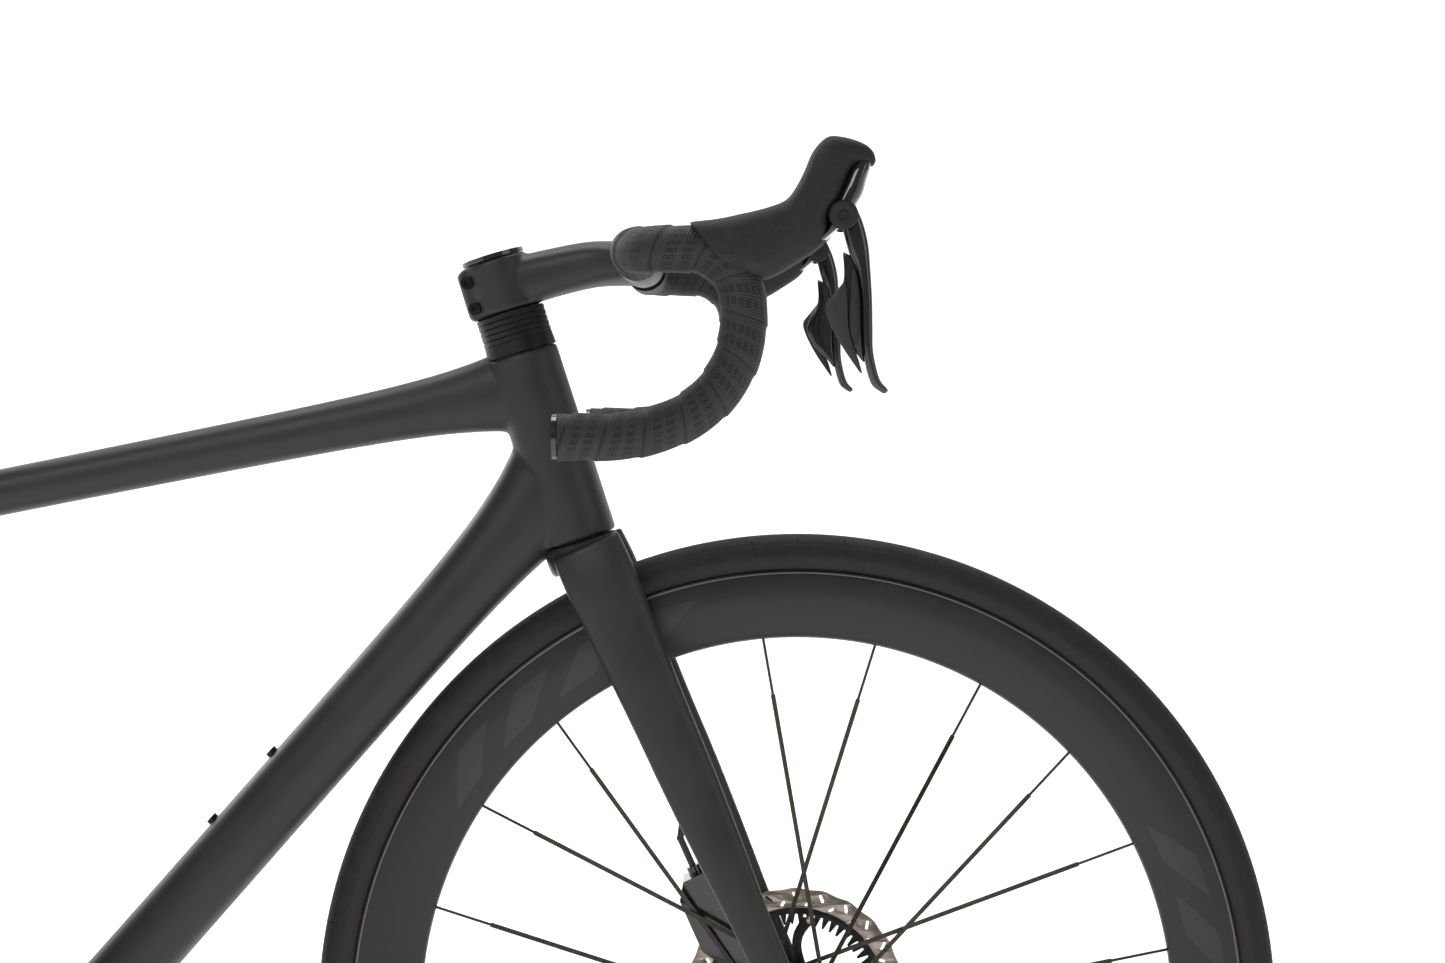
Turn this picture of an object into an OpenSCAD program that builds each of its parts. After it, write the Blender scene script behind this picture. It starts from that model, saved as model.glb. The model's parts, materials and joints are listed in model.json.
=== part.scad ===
// Road bicycle: a disc-brake race bike with a one-piece cockpit, deep rims and electronic shifting.
// X points forwards, Y to the rider's left and Z up. The origin is on the ground, midway between the axles.

/* [Frame] */
// Distance between the two wheel axles
wheelbase = 976; // [960:1:1010]
// Distance along X from the bottom bracket to the front axle
front_centre = 570; // [564:1:582]
// Drop of the bottom bracket below the axles
bb_drop = 71; // [66:1:76]
// Angle of the steering axis above the horizontal
head_angle = 73; // [72.4:0.1:73.6]
// Angle of the seat tube above the horizontal
seat_angle = 73.5; // [73:0.1:74.5]
// Length of the head tube
head_tube_l = 138; // [115:1:166]
// Distance along the seat tube from the bottom bracket to the top tube
seat_tube_l = 434; // [400:1:450]
// Seatpost showing above the seat tube
post_show = 172; // [120:1:206]
// Wall thickness of the frame tubes
tube_wall = 2.4; // [1.6:0.1:3]
// Depth of the down tube
down_tube_d = 47; // [40:1:52]
// Depth of the top tube at the head tube
top_tube_d = 36; // [30:1:40]
// Radius of the seatpost
post_r = 13.6; // [12.5:0.1:14]

/* [Steering] */
// Distance of the front axle ahead of the steering axis
fork_rake = 49; // [44:0.5:52]
// Distance along the steering axis from the axle to the fork crown
fork_l = 367; // [364:1:372]
// Number of headset spacers under the stem
spacer_count = 5; // [2:1:6]
// Height of one headset spacer
spacer_h = 4; // [3:0.5:5]
// Distance from the steering axis to the bar tops
stem_l = 99; // [85:1:120]
// Distance between the middles of the two brake hoods
bar_width = 420; // [380:5:440]
// Distance from the bar tops forward to the front of the drops
bar_reach = 70; // [68:1:84]
// Radius of the hook of the drops
drop_hook_r = 70; // [60:1:76]
// Radius of the bare handlebar
bar_r = 12; // [11.5:0.1:12.2]
// Thickness of the wound bar tape
tape_t = 3.4; // [2:0.1:3.6]

/* [Wheels] */
// Radius of the rim where the tyre's bead sits
bead_seat_r = 311; // [311]
// Height of the tyre above the bead seat
tyre_h = 30.3; // [26:0.1:32]
// Width of the tyre
tyre_w = 30; // [26:0.5:32]
// Depth of the rims
rim_depth = 49; // [30:1:60]
// Width of the rims
rim_w = 28; // [26:0.5:30]
// Spokes in the front wheel, a multiple of three
front_spoke_count = 21; // [18:3:24]
// Spokes in the rear wheel, a multiple of three
rear_spoke_count = 24; // [21:3:27]
// Radius of the front brake rotor
front_rotor_r = 80; // [76:1:80]
// Radius of the rear brake rotor
rear_rotor_r = 70; // [70:1:72]

/* [Drivetrain] */
// Teeth on the large chainring
ring_teeth = 52; // [48:2:54]
// Teeth on the small chainring
small_ring_teeth = 36; // [34:2:38]
// Length of the crank arms, axis to axis
crank_l = 172.5; // [165:2.5:175]
// Distance of the chain from the middle plane
chain_line = 47.4; // [47:0.1:48]

/* [Hidden] */
$fn = 48;

carbon = [0.1, 0.1, 0.1];
gloss_black = [0.03, 0.03, 0.035];
rubber = [0.07, 0.07, 0.07];
steel = [0.5, 0.5, 0.5];
bronze = [0.3, 0.27, 0.24];

// Clearances: running is between moving pieces, snug between a pin or tube and its bore
running = 0.3;
snug = 0.05;

// Driving points, as [x, z] in the middle plane
tyre_r = bead_seat_r + tyre_h;
front_hub_p = [wheelbase / 2, tyre_r];
rear_hub_p = [-wheelbase / 2, tyre_r];
bb_p = [wheelbase / 2 - front_centre, tyre_r - bb_drop];
steer_up = [-cos(head_angle), sin(head_angle)];
steer_fore = [sin(head_angle), cos(head_angle)];
steer_foot = front_hub_p - fork_rake * steer_fore;
seat_up = [-cos(seat_angle), sin(seat_angle)];
seat_fore = [sin(seat_angle), cos(seat_angle)];

// A point s along the steering axis from the front axle's height, and fore ahead of it
function steer_point(s, fore = 0) = steer_foot + s * steer_up + fore * steer_fore;
// A point s along the seat tube's axis, and fore ahead of it
function seat_point(s, fore = 0) = bb_p + s * seat_up + fore * seat_fore;
function angle_of(v) = atan2(v[1], v[0]);
function polar(c, r, a) = c + r * [cos(a), sin(a)];

// ---- Helpers ----

module in_steering(s, fore = 0) {
    p = steer_point(s, fore);
    translate([p[0], 0, p[1]]) rotate([0, head_angle - 90, 0]) children();
}

module in_seat_tube(s) {
    p = seat_point(s);
    translate([p[0], 0, p[1]]) rotate([0, seat_angle - 90, 0]) children();
}

// A round bar or ring lying across the bicycle at p, from y1 to y2
module across(p, r, y1, y2, bore = 0) {
    translate([p[0], y1, p[1]]) rotate([-90, 0, 0]) difference() {
        cylinder(r = r, h = y2 - y1);
        if (bore > 0) translate([0, 0, -1]) cylinder(r = bore, h = y2 - y1 + 2);
    }
}

// An outline in X and Z, drawn from y1 to y2
module slab(y1, y2) {
    translate([0, y2, 0]) rotate([90, 0, 0]) linear_extrude(y2 - y1) children();
}

// Moves a child drawn around an axle along Y so that the axle is at p
module at(p) {
    translate([p[0], 0, p[1]]) children();
}

// A thin oval disc at p and y, square to the direction a: one end of a tube
module oval(p, y, a, depth, width) {
    translate([p[0], y, p[1]]) rotate([0, 90 - a, 0])
        linear_extrude(0.2) scale([depth / 2, width / 2]) circle(1, $fn = 32);
}

// A tapered oval bar between two points beside the middle plane
module oval_bar(p1, y1, p2, y2, size1, size2) {
    a = angle_of(p2 - p1);
    hull() {
        oval(p1, y1, a, size1[0], size1[1]);
        oval(p2, y2, a, size2[0], size2[1]);
    }
}

// A round rod from one [x, y, z] to another
module rod(from, to, r, bore = 0) {
    way = to - from;
    flat = norm([way[0], way[1]]);
    translate(from) rotate([0, atan2(flat, way[2]), atan2(way[1], way[0])]) difference() {
        cylinder(r = r, h = norm(way));
        if (bore > 0) translate([0, 0, -1]) cylinder(r = bore, h = norm(way) + 2);
    }
}

module both_sides() {
    children();
    mirror([0, 1, 0]) children();
}

// ---- Head tube and headset, measured along the steering axis ----

head_low = fork_l + 0.8;
head_high = head_low + head_tube_l;
head_low_r = 27.2;
head_high_r = 25.3;
bearing_r = 23.5;
bearing_bore_r = 17;
bearing_h = 7;
head_bore_r = 20;
steerer_r = 14.3;
cover_low = head_high + 0.5;
cover_h = 9;
spacer_low = cover_low + cover_h;
spacer_r = 24.6;
stem_low = spacer_low + spacer_count * spacer_h;
stem_body_h = 39;
stem_high = stem_low + stem_body_h;
cap_h = 3.2;

module head_tube_outer() {
    in_steering(head_low) cylinder(r1 = head_low_r, r2 = head_high_r, h = head_tube_l);
}

module headset_bearings() {
    color(steel) for (s = [head_low, head_high - bearing_h]) in_steering(s) difference() {
        cylinder(r = bearing_r, h = bearing_h);
        translate([0, 0, -1]) cylinder(r = bearing_bore_r, h = bearing_h + 2);
    }
}

module headset_cover() {
    color(gloss_black) in_steering(cover_low) difference() {
        cylinder(r1 = head_high_r, r2 = spacer_r, h = cover_h);
        translate([0, 0, -1]) cylinder(r = steerer_r + snug, h = cover_h + 2);
        translate([0, 0, -1]) cylinder(r = bearing_bore_r + 1, h = 2.5);
    }
}

// Each spacer has a small groove around its edges, so that a stack shows its joints
module headset_spacers() {
    chamfer = 0.5;
    h = spacer_h - snug;
    profile = [[steerer_r + snug, 0], [spacer_r - chamfer, 0], [spacer_r, chamfer], [spacer_r, h - chamfer],
        [spacer_r - chamfer, h], [steerer_r + snug, h]];
    color(gloss_black) for (i = [0:spacer_count - 1])
        in_steering(spacer_low + i * spacer_h) rotate_extrude() polygon(profile);
}

// ---- Frame ----

bb_shell_r = 24;
bb_shell_half = 42;
bb_cup_r = 20.5;
bb_flange_t = 1.6;
spindle_r = 12;
seat_tube_d = 34;
seat_tube_top = seat_tube_l + 34;
post_low = seat_tube_l - 110;
post_high = seat_tube_top + post_show;
top_tube_front = steer_point(head_high - 25);
top_tube_rear = seat_point(seat_tube_l);
down_tube_front = steer_point(head_low + 45);
down_tube_rear = bb_p + [4, 0];
down_tube_a = angle_of(down_tube_front - down_tube_rear);
bolt_r = 2.5;
bolt_spacing = 64;
// Distances of the bottle bolts along the down tube and up the seat tube from the bottom bracket
down_bolts = [256, 256 + bolt_spacing];
seat_bolts = [150, 150 + bolt_spacing];

module bottom_bracket_outer() {
    across(bb_p, bb_shell_r, -bb_shell_half, bb_shell_half);
}

// Radius of the down tube at its lower and upper ends, and s up it from the bottom bracket
down_tube_r1 = down_tube_d / 2 + 1.5;
down_tube_r2 = down_tube_d / 2 + 0.5;
function down_tube_r(s) =
    down_tube_r1 + (down_tube_r2 - down_tube_r1) * s / norm(down_tube_front - down_tube_rear);

// Places a child standing on the down tube's upper face
module on_down_tube(s) {
    p = down_tube_rear + s * [cos(down_tube_a), sin(down_tube_a)];
    translate([p[0], 0, p[1]]) rotate([0, -down_tube_a, 0]) translate([0, 0, down_tube_r(s)]) children();
}

// Places a child standing on the seat tube's front face
module on_seat_tube(s) {
    in_seat_tube(s) rotate([0, 90, 0]) translate([0, 0, seat_tube_d / 2]) children();
}

// A tapered round tube between two points in the middle plane
module tapered_tube(p1, p2, r1, r2) {
    translate([p1[0], 0, p1[1]]) rotate([0, 90 - angle_of(p2 - p1), 0])
        cylinder(r1 = r1, r2 = r2, h = norm(p2 - p1));
}

// The top and down tubes, made smaller all round by inset
module triangle_tubes(inset) {
    tapered_tube(top_tube_rear, top_tube_front, top_tube_d / 2 - 2.5 - inset, top_tube_d / 2 - inset);
    tapered_tube(down_tube_rear, down_tube_front, down_tube_r1 - inset, down_tube_r2 - inset);
}

module front_triangle() {
    color(carbon) difference() {
        union() {
            difference() {
                triangle_tubes(0);
                triangle_tubes(tube_wall);
            }
            head_tube_outer();
            bottom_bracket_outer();
            in_seat_tube(0) cylinder(r = seat_tube_d / 2, h = seat_tube_top);
        }
        in_steering(head_low - 1) cylinder(r = head_bore_r, h = head_tube_l + 2);
        in_steering(head_low - 1) cylinder(r = bearing_r + snug, h = bearing_h + 1);
        in_steering(head_high - bearing_h) cylinder(r = bearing_r + snug, h = bearing_h + 1);
        across(bb_p, bb_cup_r + snug, -bb_shell_half - 1, bb_shell_half + 1);
        in_seat_tube(bb_shell_r + 10) cylinder(r = post_r + snug, h = seat_tube_top);
        for (s = down_bolts) on_down_tube(s) translate([0, 0, -20]) cylinder(r = bolt_r + snug, h = 30);
        for (s = seat_bolts) on_seat_tube(s) translate([0, 0, -12]) cylinder(r = bolt_r + snug, h = 20);
    }
}

module bottle_bolt() {
    difference() {
        union() {
            cylinder(r = 4.3, h = 3);
            translate([0, 0, -12]) cylinder(r = bolt_r, h = 13);
        }
        translate([0, 0, 1]) cylinder(r = 2, h = 3, $fn = 6);
    }
}

module bottle_bolts() {
    color(steel) {
        for (s = down_bolts) on_down_tube(s) translate([0, 0, snug]) bottle_bolt();
        for (s = seat_bolts) on_seat_tube(s) bottle_bolt();
    }
}

module bottom_bracket_cups() {
    cup_l = 9;
    color(gloss_black) both_sides() {
        across(bb_p, bb_cup_r, bb_shell_half - cup_l, bb_shell_half, spindle_r + snug);
        across(bb_p, bb_cup_r + 1.5, bb_shell_half, bb_shell_half + bb_flange_t, spindle_r + snug);
    }
}

// ---- Stays, with the dropouts square to the axle ----

rear_half = 71;
axle_r = 6;
dropout_t = 9;
stay_joint_s = 330;
chainstay_dir = (bb_p - rear_hub_p) / norm(bb_p - rear_hub_p);
chainstay_a = angle_of(chainstay_dir);
seatstay_top = seat_point(stay_joint_s);
seatstay_dir = (seatstay_top - rear_hub_p) / norm(seatstay_top - rear_hub_p);
chainstay_l = norm(bb_p - rear_hub_p);

// A stay with flat sides: its outline from the side, cut to its outline from above
module stay(side, plan) {
    intersection() {
        slab(0, 100) polygon(side);
        linear_extrude(1000) polygon(plan);
    }
}

// Each station of a stay is [distance from the axle, depth, inner y, outer y]
function side_outline(p, way, stations) = let (up = [-way[1], way[0]])
    concat([for (s = stations) p + s[0] * way + s[1] / 2 * up],
        [for (i = [len(stations) - 1:-1:0]) p + stations[i][0] * way - stations[i][1] / 2 * up]);
function plan_outline(p, way, stations) =
    concat([for (s = stations) [(p + s[0] * way)[0], s[2]]],
        [for (i = [len(stations) - 1:-1:0]) [(p + stations[i][0] * way)[0], stations[i][3]]]);

module stay_between(way, stations) {
    ends = concat([[stations[0][0] - 20, stations[0][1], stations[0][2], stations[0][3]]], stations);
    stay(side_outline(rear_hub_p, way, stations), plan_outline(rear_hub_p, way, ends));
}

dropout_end = rear_half + dropout_t;
chainstay_stations = [[5, 22, rear_half, dropout_end], [22, 23, rear_half, dropout_end],
    [0.42 * chainstay_l, 28, 45, 57], [0.72 * chainstay_l, 32, 24.5, 37.5],
    [chainstay_l - bb_shell_r + 8, 38, 24.5, 37.5]];
seatstay_l = norm(seatstay_top - rear_hub_p);
seatstay_stations = [[8, 16, rear_half, dropout_end], [24, 15, rear_half, dropout_end],
    [0.8 * seatstay_l, 15, 26, 37], [seatstay_l + 8, 17, 8, 19]];

module chainstays() {
    color(carbon) both_sides() difference() {
        union() {
            stay_between(chainstay_dir, chainstay_stations);
            across(rear_hub_p, 15, rear_half, dropout_end);
        }
        across(rear_hub_p, axle_r + snug, rear_half - 1, dropout_end + 1);
        bottom_bracket_outer();
    }
}

module seatstays() {
    color(carbon) both_sides() difference() {
        stay_between(seatstay_dir, seatstay_stations);
        across(rear_hub_p, 15, rear_half - 1, dropout_end + 1);
        in_seat_tube(0) cylinder(r = seat_tube_d / 2, h = seat_tube_top);
        stay_between(chainstay_dir, chainstay_stations);
    }
}

module rear_axle() {
    color(gloss_black) {
        across(rear_hub_p, axle_r, -rear_half - dropout_t, rear_half + dropout_t);
        across(rear_hub_p, axle_r + 3, rear_half + dropout_t, rear_half + dropout_t + 2);
    }
}

// ---- Seatpost and saddle ----

rail_y = 21;
rail_r = 3.5;
ear_t = 13;
saddle_t = 18;
saddle_l = 255;
rail_z = seat_point(post_high)[1] + 2;
saddle_z = rail_z + 46;
saddle_mid = seat_point(post_high)[0] + 10;

module seatpost() {
    head = seat_point(post_high);
    color(carbon) difference() {
        union() {
            in_seat_tube(post_low) cylinder(r = post_r, h = post_high - post_low);
            across(head, 14, -15, 15);
        }
        in_seat_tube(post_low - 1) cylinder(r = post_r - 2.2, h = post_high - post_low - 20);
        across(head, 3.2, -16, 16);
    }
}

module seatpost_clamp() {
    clamp_h = 12;
    color(gloss_black) in_seat_tube(seat_tube_top) difference() {
        union() {
            cylinder(r = seat_tube_d / 2, h = clamp_h);
            translate([-seat_tube_d / 2 - 6, -7, 0]) cube([12, 14, clamp_h]);
        }
        translate([0, 0, -1]) cylinder(r = post_r + snug, h = clamp_h + 2);
        translate([-seat_tube_d / 2 - 7, -0.75, -1]) cube([12, 1.5, clamp_h + 2]);
    }
}

module saddle_clamp() {
    head = seat_point(post_high);
    color(gloss_black) difference() {
        union() {
            both_sides() across(head, 15, 15.2, 15 + ear_t);
            across(head, 3, -15 - ear_t, 15 + ear_t);
        }
        both_sides() translate([head[0] - 40, rail_y, rail_z]) rotate([0, 90, 0])
            cylinder(r = rail_r + snug, h = 80);
    }
}

module saddle_rails() {
    tail = [saddle_mid - 98, 34, saddle_z - 24];
    back = [saddle_mid - 55, rail_y, rail_z];
    front = [saddle_mid + 50, rail_y, rail_z];
    nose = [saddle_mid + 112, 9, saddle_z - 20];
    color(steel) both_sides() difference() {
        union() {
            rod(tail, back, rail_r);
            rod(back, front, rail_r);
            rod(front, nose, rail_r);
            for (p = [back, front]) translate(p) sphere(r = rail_r + 0.2);
        }
        translate([saddle_mid - 150, 0, saddle_z - saddle_t]) cube([300, 60, 10]);
    }
}

// Half-width of the saddle at t, from 0 at the nose to 1 at the tail
function smooth(t) = t <= 0 ? 0 : t >= 1 ? 1 : t * t * (3 - 2 * t);
function saddle_half(t) = (18 + 55 * smooth((t - 0.3) / 0.5)) * sqrt(sin(180 * pow(t, 0.75)) * 0.55 + 0.45)
    * (t < 0.06 ? sqrt(1 - pow(1 - t / 0.06, 2)) * 0.6 + 0.4 : 1);

module saddle_plan(inset) {
    steps = 24;
    nose_x = saddle_mid + saddle_l / 2 - inset;
    l = saddle_l - 2 * inset;
    side = [for (i = [0:steps]) [nose_x - l * i / steps, saddle_half(i / steps) - inset]];
    back = [for (i = [steps:-1:0]) [nose_x - l * i / steps, inset - saddle_half(i / steps)]];
    polygon(concat(side, back));
}

module saddle_shell() {
    color(gloss_black) translate([0, 0, saddle_z - saddle_t]) linear_extrude(3) saddle_plan(3);
}

module saddle_cover() {
    color(carbon) translate([0, 0, saddle_z - saddle_t + 3]) linear_extrude(saddle_t - 3) saddle_plan(0);
}

// ---- Fork ----

front_half = 50;
fork_end_t = 13;
leg_a = 114;
leg_top_p = front_hub_p + 357.6 * [cos(leg_a), sin(leg_a)];
leg_mid_p = front_hub_p + 240 * [cos(leg_a), sin(leg_a)];

module fork_leg() {
    oval_bar(leg_top_p, 29, leg_mid_p, 40, [52, 24], [42, 18]);
    oval_bar(leg_mid_p, 40, front_hub_p, front_half + fork_end_t / 2, [42, 18], [26, fork_end_t]);
}

module fork() {
    color(carbon) difference() {
        union() {
            both_sides() fork_leg();
            hull() {
                in_steering(fork_l - 1) cylinder(r = head_low_r, h = 1, $fn = 32);
                oval(leg_top_p, 27, leg_a, 52, 24);
                oval(leg_top_p, -27, leg_a, 52, 24);
            }
            in_steering(fork_l - 20) cylinder(r = steerer_r, h = stem_high - fork_l + 17);
            in_steering(fork_l - 1) cylinder(r = bearing_bore_r - snug, h = bearing_h + 1);
            in_steering(fork_l - 1) cylinder(r = bearing_bore_r + 3, h = 1.5);
            both_sides() across(front_hub_p, 13, front_half, front_half + fork_end_t);
        }
        both_sides() across(front_hub_p, 40, -1, front_half);
        both_sides() across(front_hub_p, front_rotor_r + 3, -1, front_rotor_y + 2.5);
        across(front_hub_p, axle_r + snug, -front_half - fork_end_t - 1, front_half + fork_end_t + 1);
        across(front_hub_p, tyre_r + 6, -20, 20);
        in_steering(fork_l - 30) cylinder(r = steerer_r - 2.5, h = stem_high - fork_l + 40);
    }
}

module front_axle() {
    reach = front_half + fork_end_t;
    color(gloss_black) {
        across(front_hub_p, axle_r, -reach, reach);
        across(front_hub_p, axle_r + 3, reach, reach + 2);
    }
}

// ---- Brakes ----

rotor_t = 1.8;
front_rotor_y = 44;
rear_rotor_y = 56;

front_pad = [60, 30];
rear_pad = [58, 26];
pad_l = 20;
pad_out = 5;

// A flat-mount caliper. X runs along the leg from the axle, Z away from the leg; the rotor is at Y = 0
module caliper(base, shift, pad, disc_r) {
    outline = [[38, base], [112, base], [112, base + 20], [100, base + 28], [60, base + 28], [38, base + 14]];
    pocket = pad_l / 2 + 0.2;
    difference() {
        translate([shift, 0, 0]) {
            slab(-12, 18) polygon(outline);
            for (x = [66, 90]) translate([x, 18, base + 14]) rotate([-90, 0, 0]) cylinder(r = 10, h = 3);
            translate([104, 3, base + 10]) rotate([0, 90, 0]) cylinder(r = 5, h = 14);
        }
        translate([0, -rotor_t, 0]) rotate([-90, 0, 0]) cylinder(r = disc_r + 2, h = 2 * rotor_t);
        translate([pad[0] - pocket, -pad_out - 0.2, base - 1])
            cube([2 * pocket, 2 * pad_out + 0.4, pad[1] + pocket - base + 1]);
    }
}

module brake_pads(pad) {
    inner = rotor_t / 2 + 0.4;
    for (y = [-pad_out, inner]) translate([pad[0] - pad_l / 2, y, pad[1] - pad_l / 2])
        cube([pad_l, pad_out - inner, pad_l]);
}

// Turns a child drawn along X so that it runs along a leg from its axle
module along_leg(p, a, y) {
    translate([p[0], y, p[1]]) rotate([0, -a, 0]) children();
}

module front_caliper() {
    color(gloss_black) along_leg(front_hub_p, leg_a, front_rotor_y)
        caliper(19.5, 0, front_pad, front_rotor_r);
}

module front_brake_pads() {
    color(bronze) along_leg(front_hub_p, leg_a, front_rotor_y) brake_pads(front_pad);
}

module front_brake_hose() {
    color(rubber) difference() {
        along_leg(front_hub_p, leg_a, front_rotor_y) {
            rod([118, 3, 29.5], [140, 3, 29.5], 2.5);
            translate([140, 3, 29.5]) sphere(r = 2.8);
            rod([140, 3, 29.5], [165, 3, 14], 2.5);
        }
        fork_leg();
    }
}

module rear_caliper() {
    color(gloss_black) along_leg(rear_hub_p, chainstay_a, rear_rotor_y)
        caliper(15, 8, rear_pad, rear_rotor_r);
}

module rear_brake_pads() {
    color(bronze) along_leg(rear_hub_p, chainstay_a, rear_rotor_y) brake_pads(rear_pad);
}

// ---- Cockpit: the stem and handlebar in one piece ----

bar_mid_p = steer_point(stem_low + 5.4, stem_l);
bar_x = bar_mid_p[0];
bar_z = bar_mid_p[1];
bend_r = 34;
shoulder_r = 35;
hook_drop = 9;
hook_split_a = -65;
hook_end_r = 110;
hook_x = bar_x + bar_reach - drop_hook_r;
hook_z = bar_z - shoulder_r - hook_drop;
hook_end_c = polar([hook_x, hook_z], drop_hook_r - hook_end_r, hook_split_a);
drop_z = hook_end_c[1] - hook_end_r;
drop_end_x = hook_end_c[0] - 30;
tape_r = bar_r + tape_t;
side_y = -bar_width / 2;
tape_start_y = -90;
// Angle up the shoulder to which the tape of the drops is wound
tape_a = 20;

// A ring's outline, or a full disc's when bore is 0
module ring(r, bore) {
    difference() {
        circle(r = r);
        if (bore > 0) circle(r = bore);
    }
}

// A round bar or tube bent in the plane of the wheels, about c from angle a1 to a2
module bent_bar(c, sweep_r, a1, a2, r, bore) {
    translate([c[0], side_y, c[1]]) rotate([90, 0, 0]) rotate([0, 0, a1])
        rotate_extrude(angle = a2 - a1) translate([sweep_r, 0]) ring(r, bore);
}

// A straight stretch along X or, with up = true, along Z
module straight_bar(x, z, l, r, bore, up = false) {
    translate([x, side_y, z]) rotate([0, up ? 0 : 90, 0]) linear_extrude(l) ring(r, bore);
}

// The right half of the bar in stretches: the tops, the bend, the shoulder and the drop
module bar_tops(y, r, bore = 0) {
    across([bar_x, bar_z], r, side_y + bend_r, y, bore);
}

module bar_bend(r, bore = 0) {
    translate([bar_x + bend_r, side_y + bend_r, bar_z]) rotate([0, 0, 180])
        rotate_extrude(angle = 90) translate([bend_r, 0]) ring(r, bore);
}

module bar_forward(r, bore = 0) {
    straight_bar(bar_x + bend_r, bar_z, bar_reach - shoulder_r - bend_r, r, bore);
}

module bar_shoulder(a, r, bore = 0) {
    bent_bar([bar_x + bar_reach - shoulder_r, bar_z - shoulder_r], shoulder_r, 0, a, r, bore);
}

module bar_drop(r, bore = 0) {
    straight_bar(bar_x + bar_reach, hook_z, hook_drop, r, bore, up = true);
    bent_bar([hook_x, hook_z], drop_hook_r, hook_split_a, 0, r, bore);
    bent_bar(hook_end_c, hook_end_r, -90, hook_split_a, r, bore);
    straight_bar(drop_end_x, drop_z, hook_end_c[0] - drop_end_x, r, bore);
}

// Short inner cores that tie each stretch of the bar to the next
module bar_cores() {
    core_r = bar_r - 3;
    half = 3;
    split = polar([hook_x, hook_z], drop_hook_r, hook_split_a);
    across([bar_x, bar_z], core_r, side_y + bend_r - half, side_y + bend_r + half);
    for (z = [hook_z, hook_z + hook_drop])
        straight_bar(bar_x + bar_reach, z - half, 2 * half, core_r, 0, up = true);
    for (p = [[bar_x + bend_r, bar_z], [hook_end_c[0], drop_z]])
        straight_bar(p[0] - half, p[1], 2 * half, core_r, 0);
    translate([split[0], side_y, split[1]]) rotate([0, -hook_split_a, 0])
        cylinder(r = core_r, h = 2 * half, center = true);
}

module cockpit() {
    color(carbon) difference() {
        union() {
            in_steering(stem_low) cylinder(r = 25, h = stem_body_h);
            in_steering(stem_low) translate([-30, -13, 2]) cube([20, 26, stem_body_h - 4]);
            oval_bar(steer_point(stem_low + 19, 12), 0, [bar_x, bar_z], 0, [35, 46], [31, 70]);
            both_sides() {
                across([bar_x, bar_z], 15.2, -40, 0);
                translate([bar_x, -40, bar_z]) rotate([90, 0, 0]) cylinder(r1 = 15.2, r2 = bar_r, h = 25);
                bar_tops(-60, bar_r);
                bar_bend(bar_r);
                bar_forward(bar_r);
                bar_shoulder(90, bar_r);
                bar_drop(bar_r);
                bar_cores();
            }
        }
        in_steering(stem_low - 1) cylinder(r = steerer_r + snug, h = stem_body_h + 2);
        in_steering(stem_low - 1) translate([-31, -0.8, 0]) cube([20, 1.6, stem_body_h + 2]);
        for (s = stem_bolt_s) in_steering(s, -22) rotate([90, 0, 0]) {
            translate([0, 0, -20]) cylinder(r = stem_bolt_r + snug, h = 40);
            translate([0, 0, 13]) cylinder(r = 4.6, h = 10);
        }
        both_sides() translate([drop_end_x - 1, side_y, drop_z]) rotate([0, 90, 0])
            cylinder(r = 9 + snug, h = 20);
    }
}

stem_bolt_r = 2.5;
stem_bolt_s = [stem_low + 9, stem_low + 28];

module stem_bolts() {
    color(steel) for (s = stem_bolt_s) in_steering(s, -22) rotate([90, 0, 0]) difference() {
        union() {
            translate([0, 0, -12]) cylinder(r = stem_bolt_r, h = 25.1);
            translate([0, 0, 13.1]) cylinder(r = 4.2, h = 4);
        }
        translate([0, 0, 14.5]) cylinder(r = 2, h = 4, $fn = 6);
    }
}

module stem_cap() {
    color(gloss_black) in_steering(stem_high) difference() {
        union() {
            cylinder(r = 22.5, h = cap_h);
            translate([0, 0, -8]) cylinder(r = steerer_r - 2.5 - snug, h = 9);
        }
        translate([0, 0, cap_h - 2]) cylinder(r = 3, h = 3, $fn = 6);
    }
}

module bar_tape() {
    bore = bar_r + 0.15;
    color(rubber) both_sides() {
        bar_tops(tape_start_y, tape_r, bore);
        bar_bend(tape_r, bore);
        bar_shoulder(tape_a, tape_r, bore);
        bar_drop(tape_r, bore);
    }
}

module bar_end_plugs() {
    color(gloss_black) both_sides() translate([drop_end_x, side_y, drop_z]) rotate([0, 90, 0]) {
        translate([0, 0, -3]) cylinder(r = tape_r - 1, h = 3);
        cylinder(r = 9, h = 15);
    }
}

// ---- Brake and shift levers, drawn from the front of the bar's shoulder, as [x, z] ----

lever_p = [bar_x + bar_reach, bar_z];
pivot = [61.8, 20.3];
pivot_p = lever_p + pivot;
pin_r = 2.5;
lug_half = 7;
ear_half = 11;
bracket_half = 15;
hood_half = 19;
hood_outline = [[-33.8, 16], [-2.5, 21.6], [26.2, 30.4], [38.1, 49], [44.3, 64.6], [53.1, 69.3], [72.4, 65.9],
    [81.8, 58.4], [81.8, 53.4], [69, 49], [64, 32], [52, 22], [50, 10], [53.8, 3.6], [35, -8.3],
    [16.3, -18.3],
    [13.1, -21.4], [-11.9, -12], [-29.4, 5.4]];
bracket_outline = [[-4, 17], [26, 26], [41, 47], [47, 62], [72, 60], [79, 53], [75.5, 40], [73.7, 32.9],
    [69, 27],
    [61.8, 28.5], [53.6, 20.3], [58, 12], [50, 4], [34, -4], [16, -13], [4, -12]];
blade_outline = [[60, 14], [70, 16], [73.7, 10.3], [78.7, -7.1], [80.6, -32.1], [80.7, -63.3], [85.1, -80.8],
    [90.8, -88.3], [88.9, -90.8], [80, -85], [75.5, -72], [73.6, -50], [73.2, -30], [69.8, -8], [60.8, 6.5]];
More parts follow.
